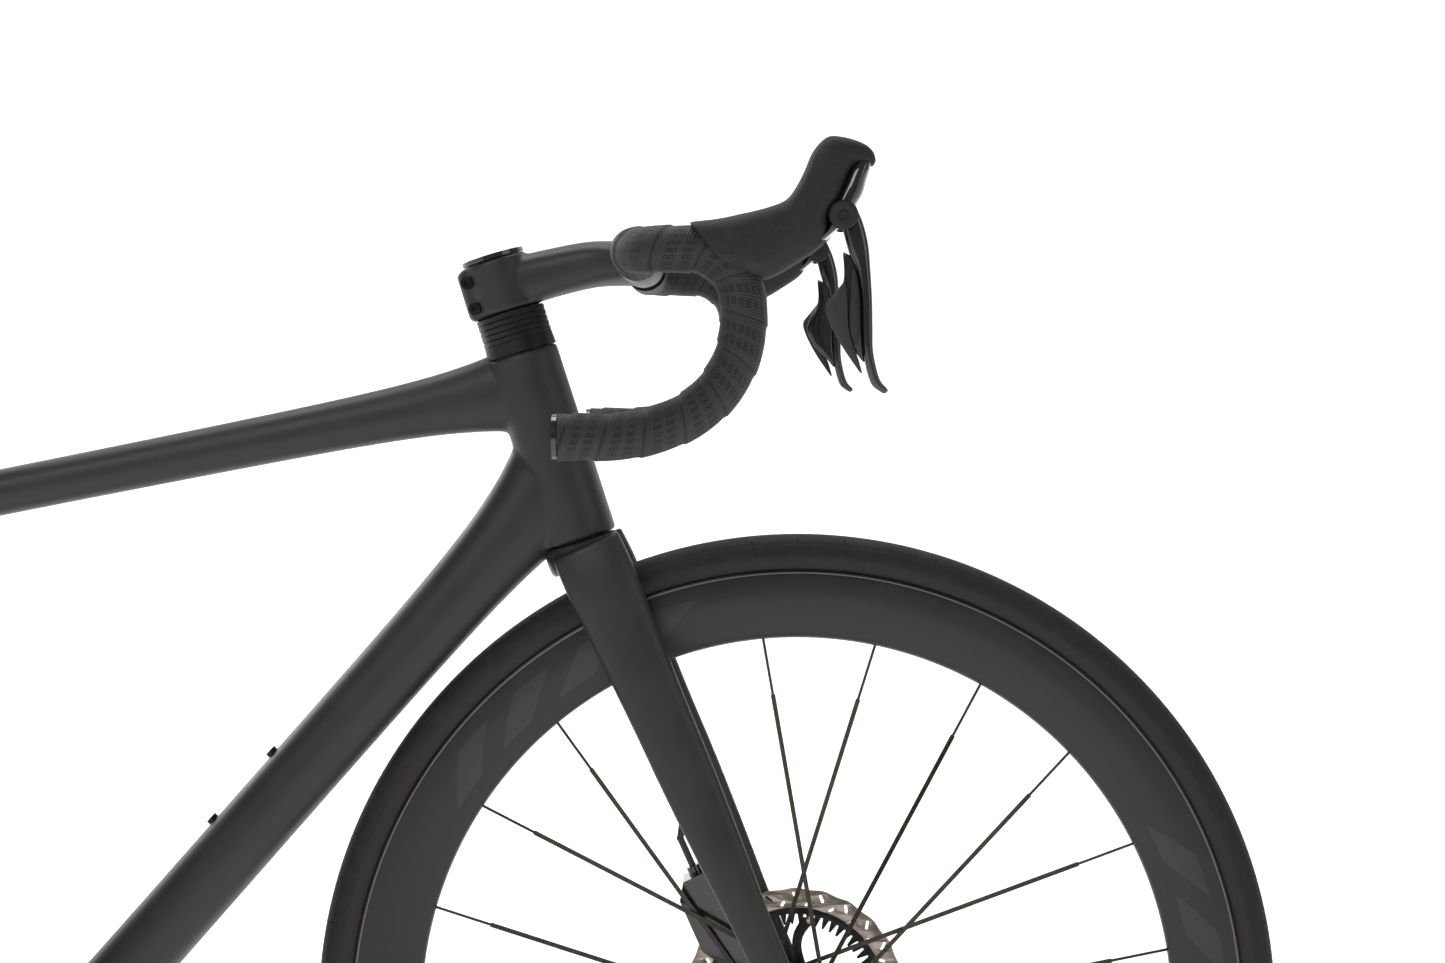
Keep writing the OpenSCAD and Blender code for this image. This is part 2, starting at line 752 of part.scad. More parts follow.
housing_outline = [[61, 0], [71, -8], [74, -30], [74.4, -50], [76, -72], [62, -56], [55, -46], [53, -37],
    [63, -20]];
front_button_outline = [[67.5, -13], [69.4, -12], [72.8, -30], [73.2, -50], [74.6, -67], [71, -64], [66, -50],
    [65.8, -34]];
rear_button_outline = [[63.4, -19], [65.3, -34], [65.5, -50.2], [70.6, -64.6], [75, -80], [66, -68],
    [53.8, -47.7],
    [50.6, -35.2]];

// Draws a lever outline on the right side, from y1 to y2 beside the middle of the hood
module lever_slab(outline, y1, y2) {
    translate([lever_p[0], side_y, lever_p[1]]) slab(y1, y2) polygon(outline);
}

// The bracket has a lug for the lever's pivot pin, with room beside it for the lever's ears
module lever_bracket() {
    difference() {
        lever_slab(bracket_outline, -bracket_half, bracket_half);
        for (y = [-bracket_half - 1, lug_half])
            across(pivot_p, 13, side_y + y, side_y + y + bracket_half + 1 - lug_half);
        across(pivot_p, pin_r + snug, side_y - lug_half - 1, side_y + lug_half + 1);
        bar_forward(bar_r + snug);
        bar_shoulder(90, bar_r + snug);
        bar_shoulder(tape_a + 2, tape_r + snug);
    }
}

module lever_brackets() {
    color(gloss_black) both_sides() lever_bracket();
}

module lever_hoods() {
    color(rubber) both_sides() difference() {
        lever_slab(hood_outline, -hood_half, hood_half);
        lever_slab(bracket_outline, -bracket_half, bracket_half);
        across(pivot_p, 13, side_y - hood_half - 1, side_y + hood_half + 1);
        bar_bend(tape_r + 0.15);
        bar_forward(tape_r + 0.15);
        bar_shoulder(90, tape_r + 0.15);
    }
}

module lever_pins() {
    color(steel) both_sides() across(pivot_p, pin_r, side_y - ear_half - 0.8, side_y + ear_half + 0.8);
}

module brake_lever() {
    difference() {
        union() {
            across(pivot_p, 8.5, side_y - ear_half, side_y + ear_half);
            lever_slab([for (i = [0, 1, 2, 3, 13, 14]) blade_outline[i]], -ear_half, ear_half);
            lever_slab(blade_outline, -6.5, 5);
            lever_slab(housing_outline, -1, 3);
        }
        across(pivot_p, 11.5, side_y - lug_half - running, side_y + lug_half + running);
        across(pivot_p, pin_r + snug, side_y - ear_half - 1, side_y + ear_half + 1);
    }
}

module right_brake_lever() {
    color(gloss_black) brake_lever();
}

module left_brake_lever() {
    color(gloss_black) mirror([0, 1, 0]) brake_lever();
}

module right_front_button() {
    color(rubber) lever_slab(front_button_outline, -6, -2.4);
}

module right_rear_button() {
    color(rubber) lever_slab(rear_button_outline, -6, -2.4);
}

module left_front_button() {
    color(rubber) mirror([0, 1, 0]) lever_slab(front_button_outline, -6, -2.4);
}

module left_rear_button() {
    color(rubber) mirror([0, 1, 0]) lever_slab(rear_button_outline, -6, -2.4);
}

// ---- Wheels, drawn lying down: the axle is Z, and the right side is +Z ----

module wheel_at(p) {
    translate([p[0], 0, p[1]]) rotate([90, 0, 0]) children();
}

flange_r = bead_seat_r + 5.5;
rim_inner_r = flange_r - rim_depth;
rim_half = rim_w / 2;
tyre_mid_r = tyre_r - tyre_w / 2;
tyre_wall = 2.6;

module tyre() {
    rotate_extrude($fn = 96) {
        difference() {
            translate([tyre_mid_r, 0]) circle(r = tyre_w / 2);
            translate([tyre_mid_r, 0]) circle(r = tyre_w / 2 - tyre_wall);
            translate([bead_seat_r - 2, -tyre_w]) square([flange_r - bead_seat_r + 2.2, 2 * tyre_w]);
        }
        for (y = [-rim_half + 2.8, rim_half - 5.6]) translate([bead_seat_r, y]) square([8, 2.8]);
    }
}

// A deep hollow rim, widest a third of the way down, with hooks for the beads
module rim() {
    wall = 1.8;
    wide_r = flange_r - rim_depth * 0.34;
    low_r = rim_inner_r + rim_depth * 0.12;
    rotate_extrude($fn = 96) difference() {
        polygon([[bead_seat_r, -rim_half + 2.8], [flange_r, -rim_half + 2.8], [flange_r, -rim_half + 0.6],
            [wide_r, -rim_half], [low_r, -7.5], [rim_inner_r, -3.5], [rim_inner_r, 3.5], [low_r, 7.5],
            [wide_r, rim_half], [flange_r, rim_half - 0.6], [flange_r, rim_half - 2.8],
            [bead_seat_r, rim_half - 2.8], [bead_seat_r, rim_half - 6], [bead_seat_r - 4, rim_half - 8],
            [bead_seat_r - 4, 8 - rim_half], [bead_seat_r, 6 - rim_half]]);
        polygon([[bead_seat_r - 6, 3 - rim_half], [wide_r, wall - rim_half], [low_r, wall - 7.5],
            [rim_inner_r + wall, 0], [low_r, 7.5 - wall], [wide_r, rim_half - wall],
            [bead_seat_r - 6, rim_half - 3]]);
    }
}

// A flat spoke on the rim point at angle a, thin and round for its last stretch at the rim
module blade_spoke(a, foot_a, foot_r, foot_z) {
    from = [foot_r * cos(foot_a), foot_r * sin(foot_a), foot_z];
    to = [(rim_inner_r + 1) * cos(a), (rim_inner_r + 1) * sin(a), 0];
    way = to - from;
    l = norm(way);
    round_l = 42;
    translate(from) rotate([0, 0, atan2(way[1], way[0])]) rotate([0, -asin(way[2] / l), 0]) {
        translate([0, -1.6, -0.5]) cube([l - round_l, 3.2, 1]);
        translate([l - round_l - 1, 0, 0]) rotate([0, 90, 0]) cylinder(r = 1, h = round_l + 1, $fn = 16);
        rotate([0, 90, 0]) cylinder(r = 1.3, h = 8, $fn = 16);
    }
}

// Two spokes out of three go to the braced side, at braced_z, and pull opposite ways round the hub
module spokes(count, start_a, radial_r, radial_z, braced_r, braced_z) {
    lean = acos(braced_r / rim_inner_r);
    for (k = [0:count - 1]) {
        a = start_a + k * 360 / count;
        if (k % 3 == 0) blade_spoke(a, a, radial_r, radial_z);
        if (k % 3 == 1) blade_spoke(a, a + lean, braced_r, braced_z - 1.7);
        if (k % 3 == 2) blade_spoke(a, a - lean, braced_r, braced_z + 1.7);
    }
}

radial_r = 14;
braced_r = 22;
front_radial_z = 35;
front_braced_z = -30;
rear_radial_z = -36;
rear_braced_z = 17;

// A hub shell turned from a list of [z, r] steps, with a bore for the axle
module hub(steps) {
    low = steps[0][0];
    high = steps[len(steps) - 1][0];
    rotate_extrude() difference() {
        polygon(concat([[0, low]], [for (s = steps) [s[1], s[0]]], [[0, high]]));
        translate([-1, low - 1]) square([1 + axle_r + running, high - low + 2]);
    }
}

module front_hub() {
    end = front_half - running;
    color(gloss_black) wheel_at(front_hub_p)
        hub([[-end, 9.5], [-44.9, 9.5], [-44.9, 17], [-39, 17], [-36, 25],
        [-26, 25], [-20, 12], [28, 10], [31, 16], [39, 16], [42, 11], [end, 9.5]]);
}

module rear_hub() {
    end = rear_half - running;
    color(gloss_black) wheel_at(rear_hub_p) hub([[-end, 9.5], [-56.9, 9.5], [-56.9, 17], [-46, 17], [-40, 17],
        [-32, 17], [-26, 13], [8, 13], [12, 26], [22, 26], [23.5, 20]]);
}

module rotor(r) {
    rotate([0, 0, 9]) difference() {
        union() {
            difference() {
                cylinder(r = r, h = rotor_t, center = true);
                cylinder(r = r - 17, h = 3, center = true);
            }
            for (k = [0:4]) rotate([0, 0, 72 * k]) translate([18, -6, -rotor_t / 2])
                cube([r - 33, 12, rotor_t]);
            cylinder(r = 27, h = rotor_t, center = true);
        }
        cylinder(r = 17 + snug, h = 3, center = true);
        for (k = [0:35]) rotate([0, 0, 10 * k]) translate([r - (k % 2 == 0 ? 5 : 11), 0, -2])
            cylinder(r = 2.2, h = 4);
    }
}

module front_tyre() { color(rubber) wheel_at(front_hub_p) tyre(); }
module front_rim() { color(carbon) wheel_at(front_hub_p) rim(); }
module rear_tyre() { color(rubber) wheel_at(rear_hub_p) tyre(); }
module rear_rim() { color(carbon) wheel_at(rear_hub_p) rim(); }

module front_spokes() {
    color(bronze) wheel_at(front_hub_p)
        spokes(front_spoke_count, 9.5, radial_r, front_radial_z, braced_r, front_braced_z);
}

module rear_spokes() {
    color(bronze) wheel_at(rear_hub_p)
        spokes(rear_spoke_count, 4, radial_r, rear_radial_z, braced_r, rear_braced_z);
}

module front_rotor() {
    color(bronze) wheel_at(front_hub_p) translate([0, 0, -front_rotor_y]) rotor(front_rotor_r);
}

module rear_rotor() {
    color(bronze) wheel_at(rear_hub_p) translate([0, 0, -rear_rotor_y]) rotor(rear_rotor_r);
}

// ---- Drivetrain ----

pitch = 12.7;
disc_t = 1.7;
cog_step = 3.55;
cog_list = [11, 12, 13, 14, 15, 16, 17, 19, 21, 24, 27, 30];
chain_cog = 5;
cog_teeth = cog_list[chain_cog];
pulley_teeth = 11;
function pitch_r(teeth) = pitch / 2 / sin(180 / teeth);

// A toothed disc in the plane of X and Y, centred on Z = 0
module toothed_disc(teeth, t = disc_t) {
    r = pitch_r(teeth);
    step = 360 / teeth;
    linear_extrude(t, center = true) polygon([for (k = [0:teeth - 1]) for (c = [[-0.32, -3.4], [-0.1, 2.6],
        [0.1, 2.6], [0.32, -3.4]]) (r + c[1]) * [cos((k + c[0]) * step), sin((k + c[0]) * step)]]);
}

module cassette() {
    color(steel) wheel_at(rear_hub_p) difference() {
        union() {
            for (i = [0:len(cog_list) - 1])
                translate([0, 0, chain_line + (chain_cog - i) * cog_step]) toothed_disc(cog_list[i]);
            translate([0, 0, 24]) cylinder(r = 18, h = rear_half - running - 26);
            translate([0, 0, 24]) cylinder(r = 10, h = rear_half - running - 24);
        }
        translate([0, 0, 20]) cylinder(r = axle_r + running, h = 60);
    }
}

small_ring_y = chain_line - 6.6;
spider_low = chain_line + 1.1;
spider_r = 62;
bolt_circle_r = 55;
arm_low = 58;
arm_t = 13;
pedal_thread_r = 7.1;
crank_a = -24;

module chainrings() {
    color(gloss_black) wheel_at(bb_p) rotate([0, 0, crank_a]) {
        for (ring = [[ring_teeth, chain_line, 72], [small_ring_teeth, small_ring_y, 58]])
            translate([0, 0, ring[1]]) difference() {
                toothed_disc(ring[0]);
                cylinder(r = 48, h = 4, center = true);
            }
        for (k = [0:3]) rotate([0, 0, 45 + 90 * k]) translate([bolt_circle_r, 0, small_ring_y - 1.6])
            cylinder(r = 5, h = spider_low - small_ring_y + 1.6);
    }
}

// A crank arm along +X, with its pedal thread
module crank_arm(z) {
    translate([0, 0, z]) difference() {
        union() {
            hull() {
                cylinder(r = 19, h = arm_t, $fn = 32);
                translate([crank_l, 0, 1]) cylinder(r = 12, h = arm_t - 1, $fn = 32);
            }
            cylinder(r = 19, h = arm_t);
            translate([crank_l, 0, 0]) cylinder(r = 12.5, h = arm_t);
        }
        translate([crank_l, 0, -1]) cylinder(r = pedal_thread_r, h = arm_t + 2);
    }
}

// The right crank, its spider and the spindle are one piece
module crankset() {
    color(gloss_black) wheel_at(bb_p) rotate([0, 0, crank_a]) {
        crank_arm(arm_low);
        translate([0, 0, -arm_low - arm_t]) cylinder(r = spindle_r, h = 2 * arm_low + arm_t + 1);
        translate([0, 0, spider_low]) cylinder(r = 26, h = arm_low - spider_low);
        for (k = [0:3]) rotate([0, 0, 45 + 90 * k]) translate([15, -8, spider_low])
            cube([spider_r - 15, 16, 5]);
    }
}

module left_crank() {
    color(gloss_black) wheel_at(bb_p) rotate([0, 0, crank_a + 180]) difference() {
        translate([0, 0, -2 * arm_low - arm_t]) crank_arm(arm_low);
        translate([0, 0, -arm_low - arm_t - 1]) cylinder(r = spindle_r + snug, h = arm_t + 2);
    }
}

// ---- Rear derailleur. Its link turns on upright pivots at [x, y], and its cage on the guide pulley's
// axis ----

dropout_out = rear_half + dropout_t;
hanger_t = 4;
hanger_p = rear_hub_p + [6, -34];
guide_p = rear_hub_p + [12, -90];
tension_p = guide_p + [30, -52];
guide_r = pitch_r(pulley_teeth);
cage_half = 5.5;
plate_t = 1.6;
link_l = 45;
link_h = 10;
link_r = 6;
link_pin_r = 2.4;
link_z = guide_p[1] + 2;
link_front = [guide_p[0] - 21, -chain_line - 15];
link_back = link_front - link_l * [cos(26.4), sin(26.4)];
knuckle_y = -chain_line - cage_half - plate_t - running;

module derailleur_hanger() {
    color(steel) difference() {
        slab(-dropout_out - hanger_t, -dropout_out) hull() {
            translate(rear_hub_p) circle(r = 11, $fn = 32);
            translate(hanger_p) circle(r = 9, $fn = 32);
        }
        across(rear_hub_p, axle_r + snug, -dropout_out - hanger_t - 1, -dropout_out + 1);
        across(hanger_p, 5 + snug, -dropout_out - hanger_t - 1, -dropout_out + 1);
    }
}

// Two ears above and below a link's end, with the pin between them
module link_ears(p) {
    for (z = [link_h / 2 + running, -link_h / 2 - running - 5])
        translate([p[0], p[1], link_z + z]) cylinder(r = link_r, h = 5);
    translate([p[0], p[1], link_z - link_h / 2 - 2]) cylinder(r = link_pin_r, h = link_h + 4);
}

module derailleur_body() {
    ear_top = link_h / 2 + running + 5;
    color(gloss_black) {
        across(hanger_p, 5, -dropout_out - hanger_t - 1, -dropout_out);
        across(hanger_p, 11, -dropout_out - hanger_t - 14, -dropout_out - hanger_t);
        link_ears(link_back);
        translate([link_back[0] - 14, link_back[1] - 6, link_z - ear_top]) cube([7.5, 12, 2 * ear_top]);
        for (z = [ear_top - 5, -ear_top])
            translate([link_back[0] - 14, link_back[1] - 6, link_z + z]) cube([14, 12, 5]);
        hull() {
            translate([link_back[0] - 12, link_back[1] - 6, link_z + ear_top - 5]) cube([16, 12, 5]);
            across(hanger_p, 10, -dropout_out - hanger_t - 12, -dropout_out - hanger_t - 2);
        }
    }
}

module derailleur_link() {
    color(gloss_black) translate([0, 0, link_z - link_h / 2]) difference() {
        hull() for (p = [link_back, link_front]) translate([p[0], p[1], 0])
            cylinder(r = link_r, h = link_h, $fn = 32);
        for (p = [link_back, link_front]) translate([p[0], p[1], -1])
            cylinder(r = link_pin_r + snug, h = link_h + 2);
    }
}

module derailleur_knuckle() {
    ear_top = link_h / 2 + running + 5;
    reach = guide_p[0] - link_front[0];
    color(gloss_black) difference() {
        union() {
            link_ears(link_front);
            for (z = [ear_top - 5, -ear_top])
                translate([link_front[0], link_front[1] - link_r, link_z + z]) cube([reach, 2 * link_r, 5]);
            across(guide_p, 13, knuckle_y - 15, knuckle_y);
        }
        across(guide_p, 4 + snug, knuckle_y - 10, knuckle_y + 1);
    }
}

module cage_plate(y) {
    slab(y, y + plate_t) hull() {
        translate(guide_p) circle(r = 11, $fn = 32);
        translate(tension_p) circle(r = 10, $fn = 32);
    }
}

module derailleur_cage() {
    outer_y = -chain_line - cage_half - plate_t;
    color(gloss_black) {
        cage_plate(outer_y);
        cage_plate(-chain_line + cage_half);
        for (p = [guide_p, tension_p]) across(p, 2.5, outer_y, -chain_line + cage_half + plate_t);
        across(guide_p, 4, outer_y - 9, outer_y + 0.5);
    }
}

module pulley(p) {
    color(rubber) translate([p[0], -chain_line, p[1]]) rotate([90, 0, 0]) difference() {
        union() {
            toothed_disc(pulley_teeth);
            cylinder(r = 8, h = 2 * cage_half - 2 * running, center = true);
        }
        cylinder(r = 2.5 + snug, h = 20, center = true);
    }
}

module guide_pulley() { pulley(guide_p); }
module tension_pulley() { pulley(tension_p); }

// ---- Front derailleur, over the rear of the large chainring ----

fd_pivot = bb_p + [-36, 137];
fd_pivot_y = -30;
cage_low_r = pitch_r(ring_teeth) + 6;
cage_high_r = cage_low_r + 16;

module front_derailleur_body() {
    color(gloss_black) difference() {
        union() {
            translate([fd_pivot[0] - 16, fd_pivot_y - 6, fd_pivot[1] - 9]) cube([36, 22, 24]);
            translate([fd_pivot[0] - 16, fd_pivot_y - 6, fd_pivot[1] + 6]) cube([36, 10, 14]);
        }
        in_seat_tube(0) cylinder(r = seat_tube_d / 2, h = seat_tube_top);
        translate([fd_pivot[0] - 8, fd_pivot_y - 7, fd_pivot[1] - 10]) cube([20, 14, 18]);
        translate([fd_pivot[0] - 20, fd_pivot_y, fd_pivot[1]]) rotate([0, 90, 0])
            cylinder(r = 2.5 + snug, h = 50);
    }
}

module front_derailleur_cage() {
    a1 = 96;
    a2 = 134;
    outer = -chain_line - 6.5;
    inner = -chain_line + 5;
    color(steel) difference() {
        union() {
            for (y = [outer, inner]) translate([bb_p[0], y + plate_t, bb_p[1]]) rotate([90, 0, 0])
                rotate([0, 0, a1]) rotate_extrude(angle = a2 - a1, $fn = 96)
                    translate([cage_low_r, 0]) square([cage_high_r - cage_low_r, plate_t]);
            translate([bb_p[0], inner + plate_t, bb_p[1]]) rotate([90, 0, 0]) rotate([0, 0, 108])
                rotate_extrude(angle = 10, $fn = 96) translate([cage_high_r - 2, 0])
                    square([2, inner + plate_t - outer]);
            translate([fd_pivot[0] - 7, fd_pivot_y - 12, fd_pivot[1] - 22]) cube([18, 6, 16]);
            translate([fd_pivot[0] - 7, fd_pivot_y - 10, fd_pivot[1] - 8]) cube([18, 10, 5]);
            translate([fd_pivot[0] - 7, fd_pivot_y, fd_pivot[1]]) rotate([0, 90, 0]) cylinder(r = 5, h = 18);
            translate([fd_pivot[0] - 15.5, fd_pivot_y, fd_pivot[1]]) rotate([0, 90, 0])
                cylinder(r = 2.5, h = 35);
        }
    }
}

// ---- Chain: two rows of plates along its path, with rollers between them on the free stretches ----

chain_h = 8.5;
chain_gap = 1.3;
chain_plate_t = 1.3;
roller_r = 3.8;
// How far the teeth's tips and a running gap stand past the pitch circle
tooth_reach = 5;
ring_r = pitch_r(ring_teeth);
cog_r = pitch_r(cog_teeth);

// The angle of the point where a straight stretch leaves the circle at c1 for the one at c2.
// side is 1 when it leaves on the left of the way between the centres and -1 on the right, at each end
function leave_a(c1, r1, c2, r2, side1, side2) =
    angle_of(c2 - c1) + side1 * acos((r1 - side1 * side2 * r2) / norm(c2 - c1));

// Each run is [from, to]: the points where it leaves one wheel and meets the next
function run(c1, r1, c2, r2, side1, side2) = let (a = leave_a(c1, r1, c2, r2, side1, side2))
    [polar(c1, r1, a), polar(c2, side1 * side2 * r2, a)];

top_run = run(rear_hub_p, cog_r, bb_p, ring_r, 1, 1);
low_run = run(bb_p, ring_r, tension_p, guide_r, 1, 1);
cage_run = run(tension_p, guide_r, guide_p, guide_r, 1, -1);
cog_run = run(guide_p, guide_r, rear_hub_p, cog_r, -1, 1);

// How far past a wheel of pitch radius r a roller clears its teeth
function teeth_end(r) = sqrt(pow(r + tooth_reach + roller_r, 2) - r * r);

// One free stretch, which leaves a wheel of pitch radius r1 and meets one of radius r2
module chain_run(r, r1, r2) {
    way = r[1] - r[0];
    l = norm(way);
    // Near a wheel its teeth stand between the plates, so the rollers start beyond them
    start = teeth_end(r1);
    free = l - start - teeth_end(r2);
    count = floor(free / pitch);
    along_leg(r[0], angle_of(way), -chain_line) {
        for (y = [-chain_gap - chain_plate_t, chain_gap])
            translate([-0.2, y, -chain_h / 2]) cube([l + 0.4, chain_plate_t, chain_h]);
        if (count > 0) for (k = [0:count])
            translate([start + free / 2 + (k - count / 2) * pitch, -chain_gap - 1, 0])
                rotate([-90, 0, 0]) cylinder(r = roller_r, h = 2 * chain_gap + 2, $fn = 24);
    }
}

// The stretch of chain wrapped round a wheel at p, from angle a1 round to a2
module chain_wrap(p, r, a1, a2) {
    sweep = (a2 - a1 + 720) % 360;
    for (y = [-chain_gap - chain_plate_t, chain_gap])
        translate([p[0], -chain_line + y + chain_plate_t, p[1]]) rotate([90, 0, 0]) rotate([0, 0, a1])
            rotate_extrude(angle = sweep, $fn = 72) translate([r - chain_h / 2, 0])
                square([chain_h, chain_plate_t]);
}

module chain() {
    color(steel) {
        chain_run(top_run, cog_r, ring_r);
        chain_run(low_run, ring_r, guide_r);
        chain_run(cage_run, guide_r, guide_r);
        chain_run(cog_run, guide_r, cog_r);
        chain_wrap(bb_p, ring_r, angle_of(low_run[0] - bb_p), angle_of(top_run[1] - bb_p));
        chain_wrap(rear_hub_p, cog_r, angle_of(top_run[0] - rear_hub_p), angle_of(cog_run[1] - rear_hub_p));
        chain_wrap(tension_p, guide_r, angle_of(cage_run[0] - tension_p), angle_of(low_run[1] - tension_p));
        chain_wrap(guide_p, guide_r, angle_of(cage_run[1] - guide_p), angle_of(cog_run[0] - guide_p));
    }
}

front_triangle();
chainstays();
seatstays();
headset_bearings();
bottom_bracket_cups();
seatpost();
seatpost_clamp();
saddle_clamp();
saddle_rails();
saddle_shell();
saddle_cover();
bottle_bolts();
derailleur_hanger();
rear_axle();
rear_caliper();
rear_brake_pads();
front_derailleur_body();
front_derailleur_cage();
chain();
fork();
headset_cover();
headset_spacers();
cockpit();
stem_cap();
stem_bolts();
bar_tape();
bar_end_plugs();
lever_hoods();
lever_brackets();
lever_pins();
front_axle();
front_caliper();
front_brake_pads();
front_brake_hose();
right_brake_lever();
left_brake_lever();
right_front_button();
right_rear_button();
left_front_button();
left_rear_button();
front_tyre();
front_rim();
front_spokes();
front_hub();
front_rotor();
rear_tyre();
rear_rim();
rear_spokes();
rear_hub();
rear_rotor();
cassette();
crankset();
left_crank();
chainrings();
derailleur_body();
derailleur_link();
derailleur_knuckle();
derailleur_cage();
guide_pulley();
tension_pulley();
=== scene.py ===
# Looks of the road bicycle: skins, tyres, tape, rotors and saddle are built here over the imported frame.
import json
import math
import random

import bmesh
import bpy
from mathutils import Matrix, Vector


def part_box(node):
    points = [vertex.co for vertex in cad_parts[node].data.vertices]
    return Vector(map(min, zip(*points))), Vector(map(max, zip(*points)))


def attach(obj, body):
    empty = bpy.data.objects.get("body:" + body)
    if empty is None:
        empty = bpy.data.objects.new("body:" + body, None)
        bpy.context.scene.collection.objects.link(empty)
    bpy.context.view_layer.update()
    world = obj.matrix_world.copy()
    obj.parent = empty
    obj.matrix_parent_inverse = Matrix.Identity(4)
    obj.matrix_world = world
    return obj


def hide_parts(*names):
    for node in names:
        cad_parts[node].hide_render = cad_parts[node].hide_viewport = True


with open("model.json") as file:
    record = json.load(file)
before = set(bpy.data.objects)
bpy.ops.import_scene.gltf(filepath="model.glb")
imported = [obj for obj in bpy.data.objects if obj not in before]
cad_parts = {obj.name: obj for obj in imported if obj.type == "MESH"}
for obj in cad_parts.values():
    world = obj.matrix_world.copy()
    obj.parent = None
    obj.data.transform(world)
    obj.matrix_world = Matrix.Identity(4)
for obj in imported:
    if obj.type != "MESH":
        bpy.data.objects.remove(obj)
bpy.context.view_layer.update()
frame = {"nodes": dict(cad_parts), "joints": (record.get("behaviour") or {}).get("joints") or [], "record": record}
joints = {j["name"]: j for j in frame["joints"]}
nodes = frame["nodes"]
FORE = Vector((1, 0, 0))
Y = Vector((0, 1, 0))
Z = Vector((0, 0, 1))


# ---- Driving dimensions, in metres, in the bicycle's own frame ----

def joint_at(name):
    """A point on a joint's axis."""
    return Vector(joints[name]["pos_m"])


FRONT_HUB = joint_at("front_wheel_spin")
REAR_HUB = joint_at("rear_wheel_spin")
BB = joint_at("pedalling")
BB.y = 0
STEER_UP = Vector(joints["steering_turn"]["axis"])
STEER_FORE = Vector((STEER_UP.z, 0, -STEER_UP.x))
FORK_RAKE = 0.049
STEER_FOOT = FRONT_HUB - FORK_RAKE * STEER_FORE
HEAD_LOW = 0.3678
HEAD_HIGH = HEAD_LOW + 0.138
STEM_LOW = HEAD_HIGH + 0.0295
STEM_HIGH = STEM_LOW + 0.039
STEM_LENGTH = 0.099
SEAT_ANGLE = math.radians(73.5)
SEAT_UP = Vector((-math.cos(SEAT_ANGLE), 0, math.sin(SEAT_ANGLE)))
SEAT_TOP = 0.468
TYRE_MID_R = 0.3263
TYRE_SECTION_R = 0.015
RIM_IN_R = 0.2675
BAR_HALF = 0.210
TAPE_START = 0.090
TAPE_R = 0.0152
BAR_R = 0.012
BAR_REACH = 0.070
BEND_R = 0.034
SHOULDER_R = 0.035
HOOK_R = 0.070
HOOK_DROP = 0.009
HOOK_SPLIT = math.radians(-65)
HOOK_END_R = 0.110
DROP_RUN = 0.030


def steer(s, fore=0.0):
    """The point s up the steering axis and fore in front of it."""
    return STEER_FOOT + s * STEER_UP + fore * STEER_FORE


def seat(s):
    """The point s up the seat tube."""
    return BB + s * SEAT_UP


BAR = steer(STEM_LOW + 0.0054, STEM_LENGTH)
LEVER = BAR + Vector((BAR_REACH, 0, 0))


# ---- Mesh helpers ----

def new_object(name, bm, smooth=True, subdivisions=0):
    """Turns a bmesh into an object."""
    bmesh.ops.recalc_face_normals(bm, faces=bm.faces)
    mesh = bpy.data.meshes.new(name)
    bm.to_mesh(mesh)
    bm.free()
    for face in mesh.polygons:
        face.use_smooth = smooth
    piece = bpy.data.objects.new(name, mesh)
    bpy.context.scene.collection.objects.link(piece)
    if subdivisions:
        modifier = piece.modifiers.new("subdivision", "SUBSURF")
        modifier.levels = modifier.render_levels = subdivisions
    return piece


def bridge(bm, rings, closed_path=False, caps=True):
    """Joins closed rings of vertices into a skin."""
    count = len(rings[0])
    for i in range(len(rings) if closed_path else len(rings) - 1):
        a, b = rings[i], rings[(i + 1) % len(rings)]
        for k in range(count):
            bm.faces.new((a[k], a[(k + 1) % count], b[(k + 1) % count], b[k]))
    if caps and not closed_path:
        bm.faces.new(rings[0])
        bm.faces.new(list(reversed(rings[-1])))


def loft(bm, sections, count=32):
    """A closed skin through superellipses: (centre, side, up, half width, half height, power)."""
    rings = []
    for centre, side, up, half_w, half_h, power in sections:
        ring = []
        for k in range(count):
            t = 2 * math.pi * k / count
            x = math.copysign(abs(math.cos(t)) ** (2 / power), math.cos(t)) * half_w
            y = math.copysign(abs(math.sin(t)) ** (2 / power), math.sin(t)) * half_h
            ring.append(bm.verts.new(centre + x * side + y * up))
        rings.append(ring)
    bridge(bm, rings)


def smooth_path(points, per=8):
    """A Catmull-Rom curve through the points, which may be vectors or tuples of numbers."""
    pts = [Vector(p) for p in points]
    pts = [2 * pts[0] - pts[1]] + pts + [2 * pts[-1] - pts[-2]]
    out = []
    for i in range(1, len(pts) - 2):
        a, b, c, d = pts[i - 1 : i + 3]
        for k in range(per):
            t = k / per
            square = (2 * a - 5 * b + 4 * c - d) * t**2
            cube = (3 * b - a - 3 * c + d) * t**3
            out.append(0.5 * (2 * b + (c - a) * t + square + cube))
    return out + [pts[-2]]


def sweep(bm, path, radius, count=24, side=Y):
    """A round tube along a path. radius is a number or a function of the index and the angle."""
    rings = []
    for i, point in enumerate(path):
        ahead = (path[min(i + 1, len(path) - 1)] - path[max(i - 1, 0)]).normalized()
        side = (side - side.dot(ahead) * ahead).normalized()
        up = ahead.cross(side)
        ring = []
        for k in range(count):
            t = 2 * math.pi * k / count
            r = radius(i, t) if callable(radius) else radius
            ring.append(bm.verts.new(point + r * (math.cos(t) * side + math.sin(t) * up)))
        rings.append(ring)
    bridge(bm, rings)
    return rings


def lathe(bm, profile, centre, count=180):
    """Turns a closed profile of (radius, y) round an axle that lies along Y."""
    rings = []
    for k in range(count):
        t = 2 * math.pi * k / count
        around = [Vector((r * math.cos(t), y, r * math.sin(t))) for r, y in profile]
        rings.append([bm.verts.new(centre + point) for point in around])
    bridge(bm, rings, closed_path=True)


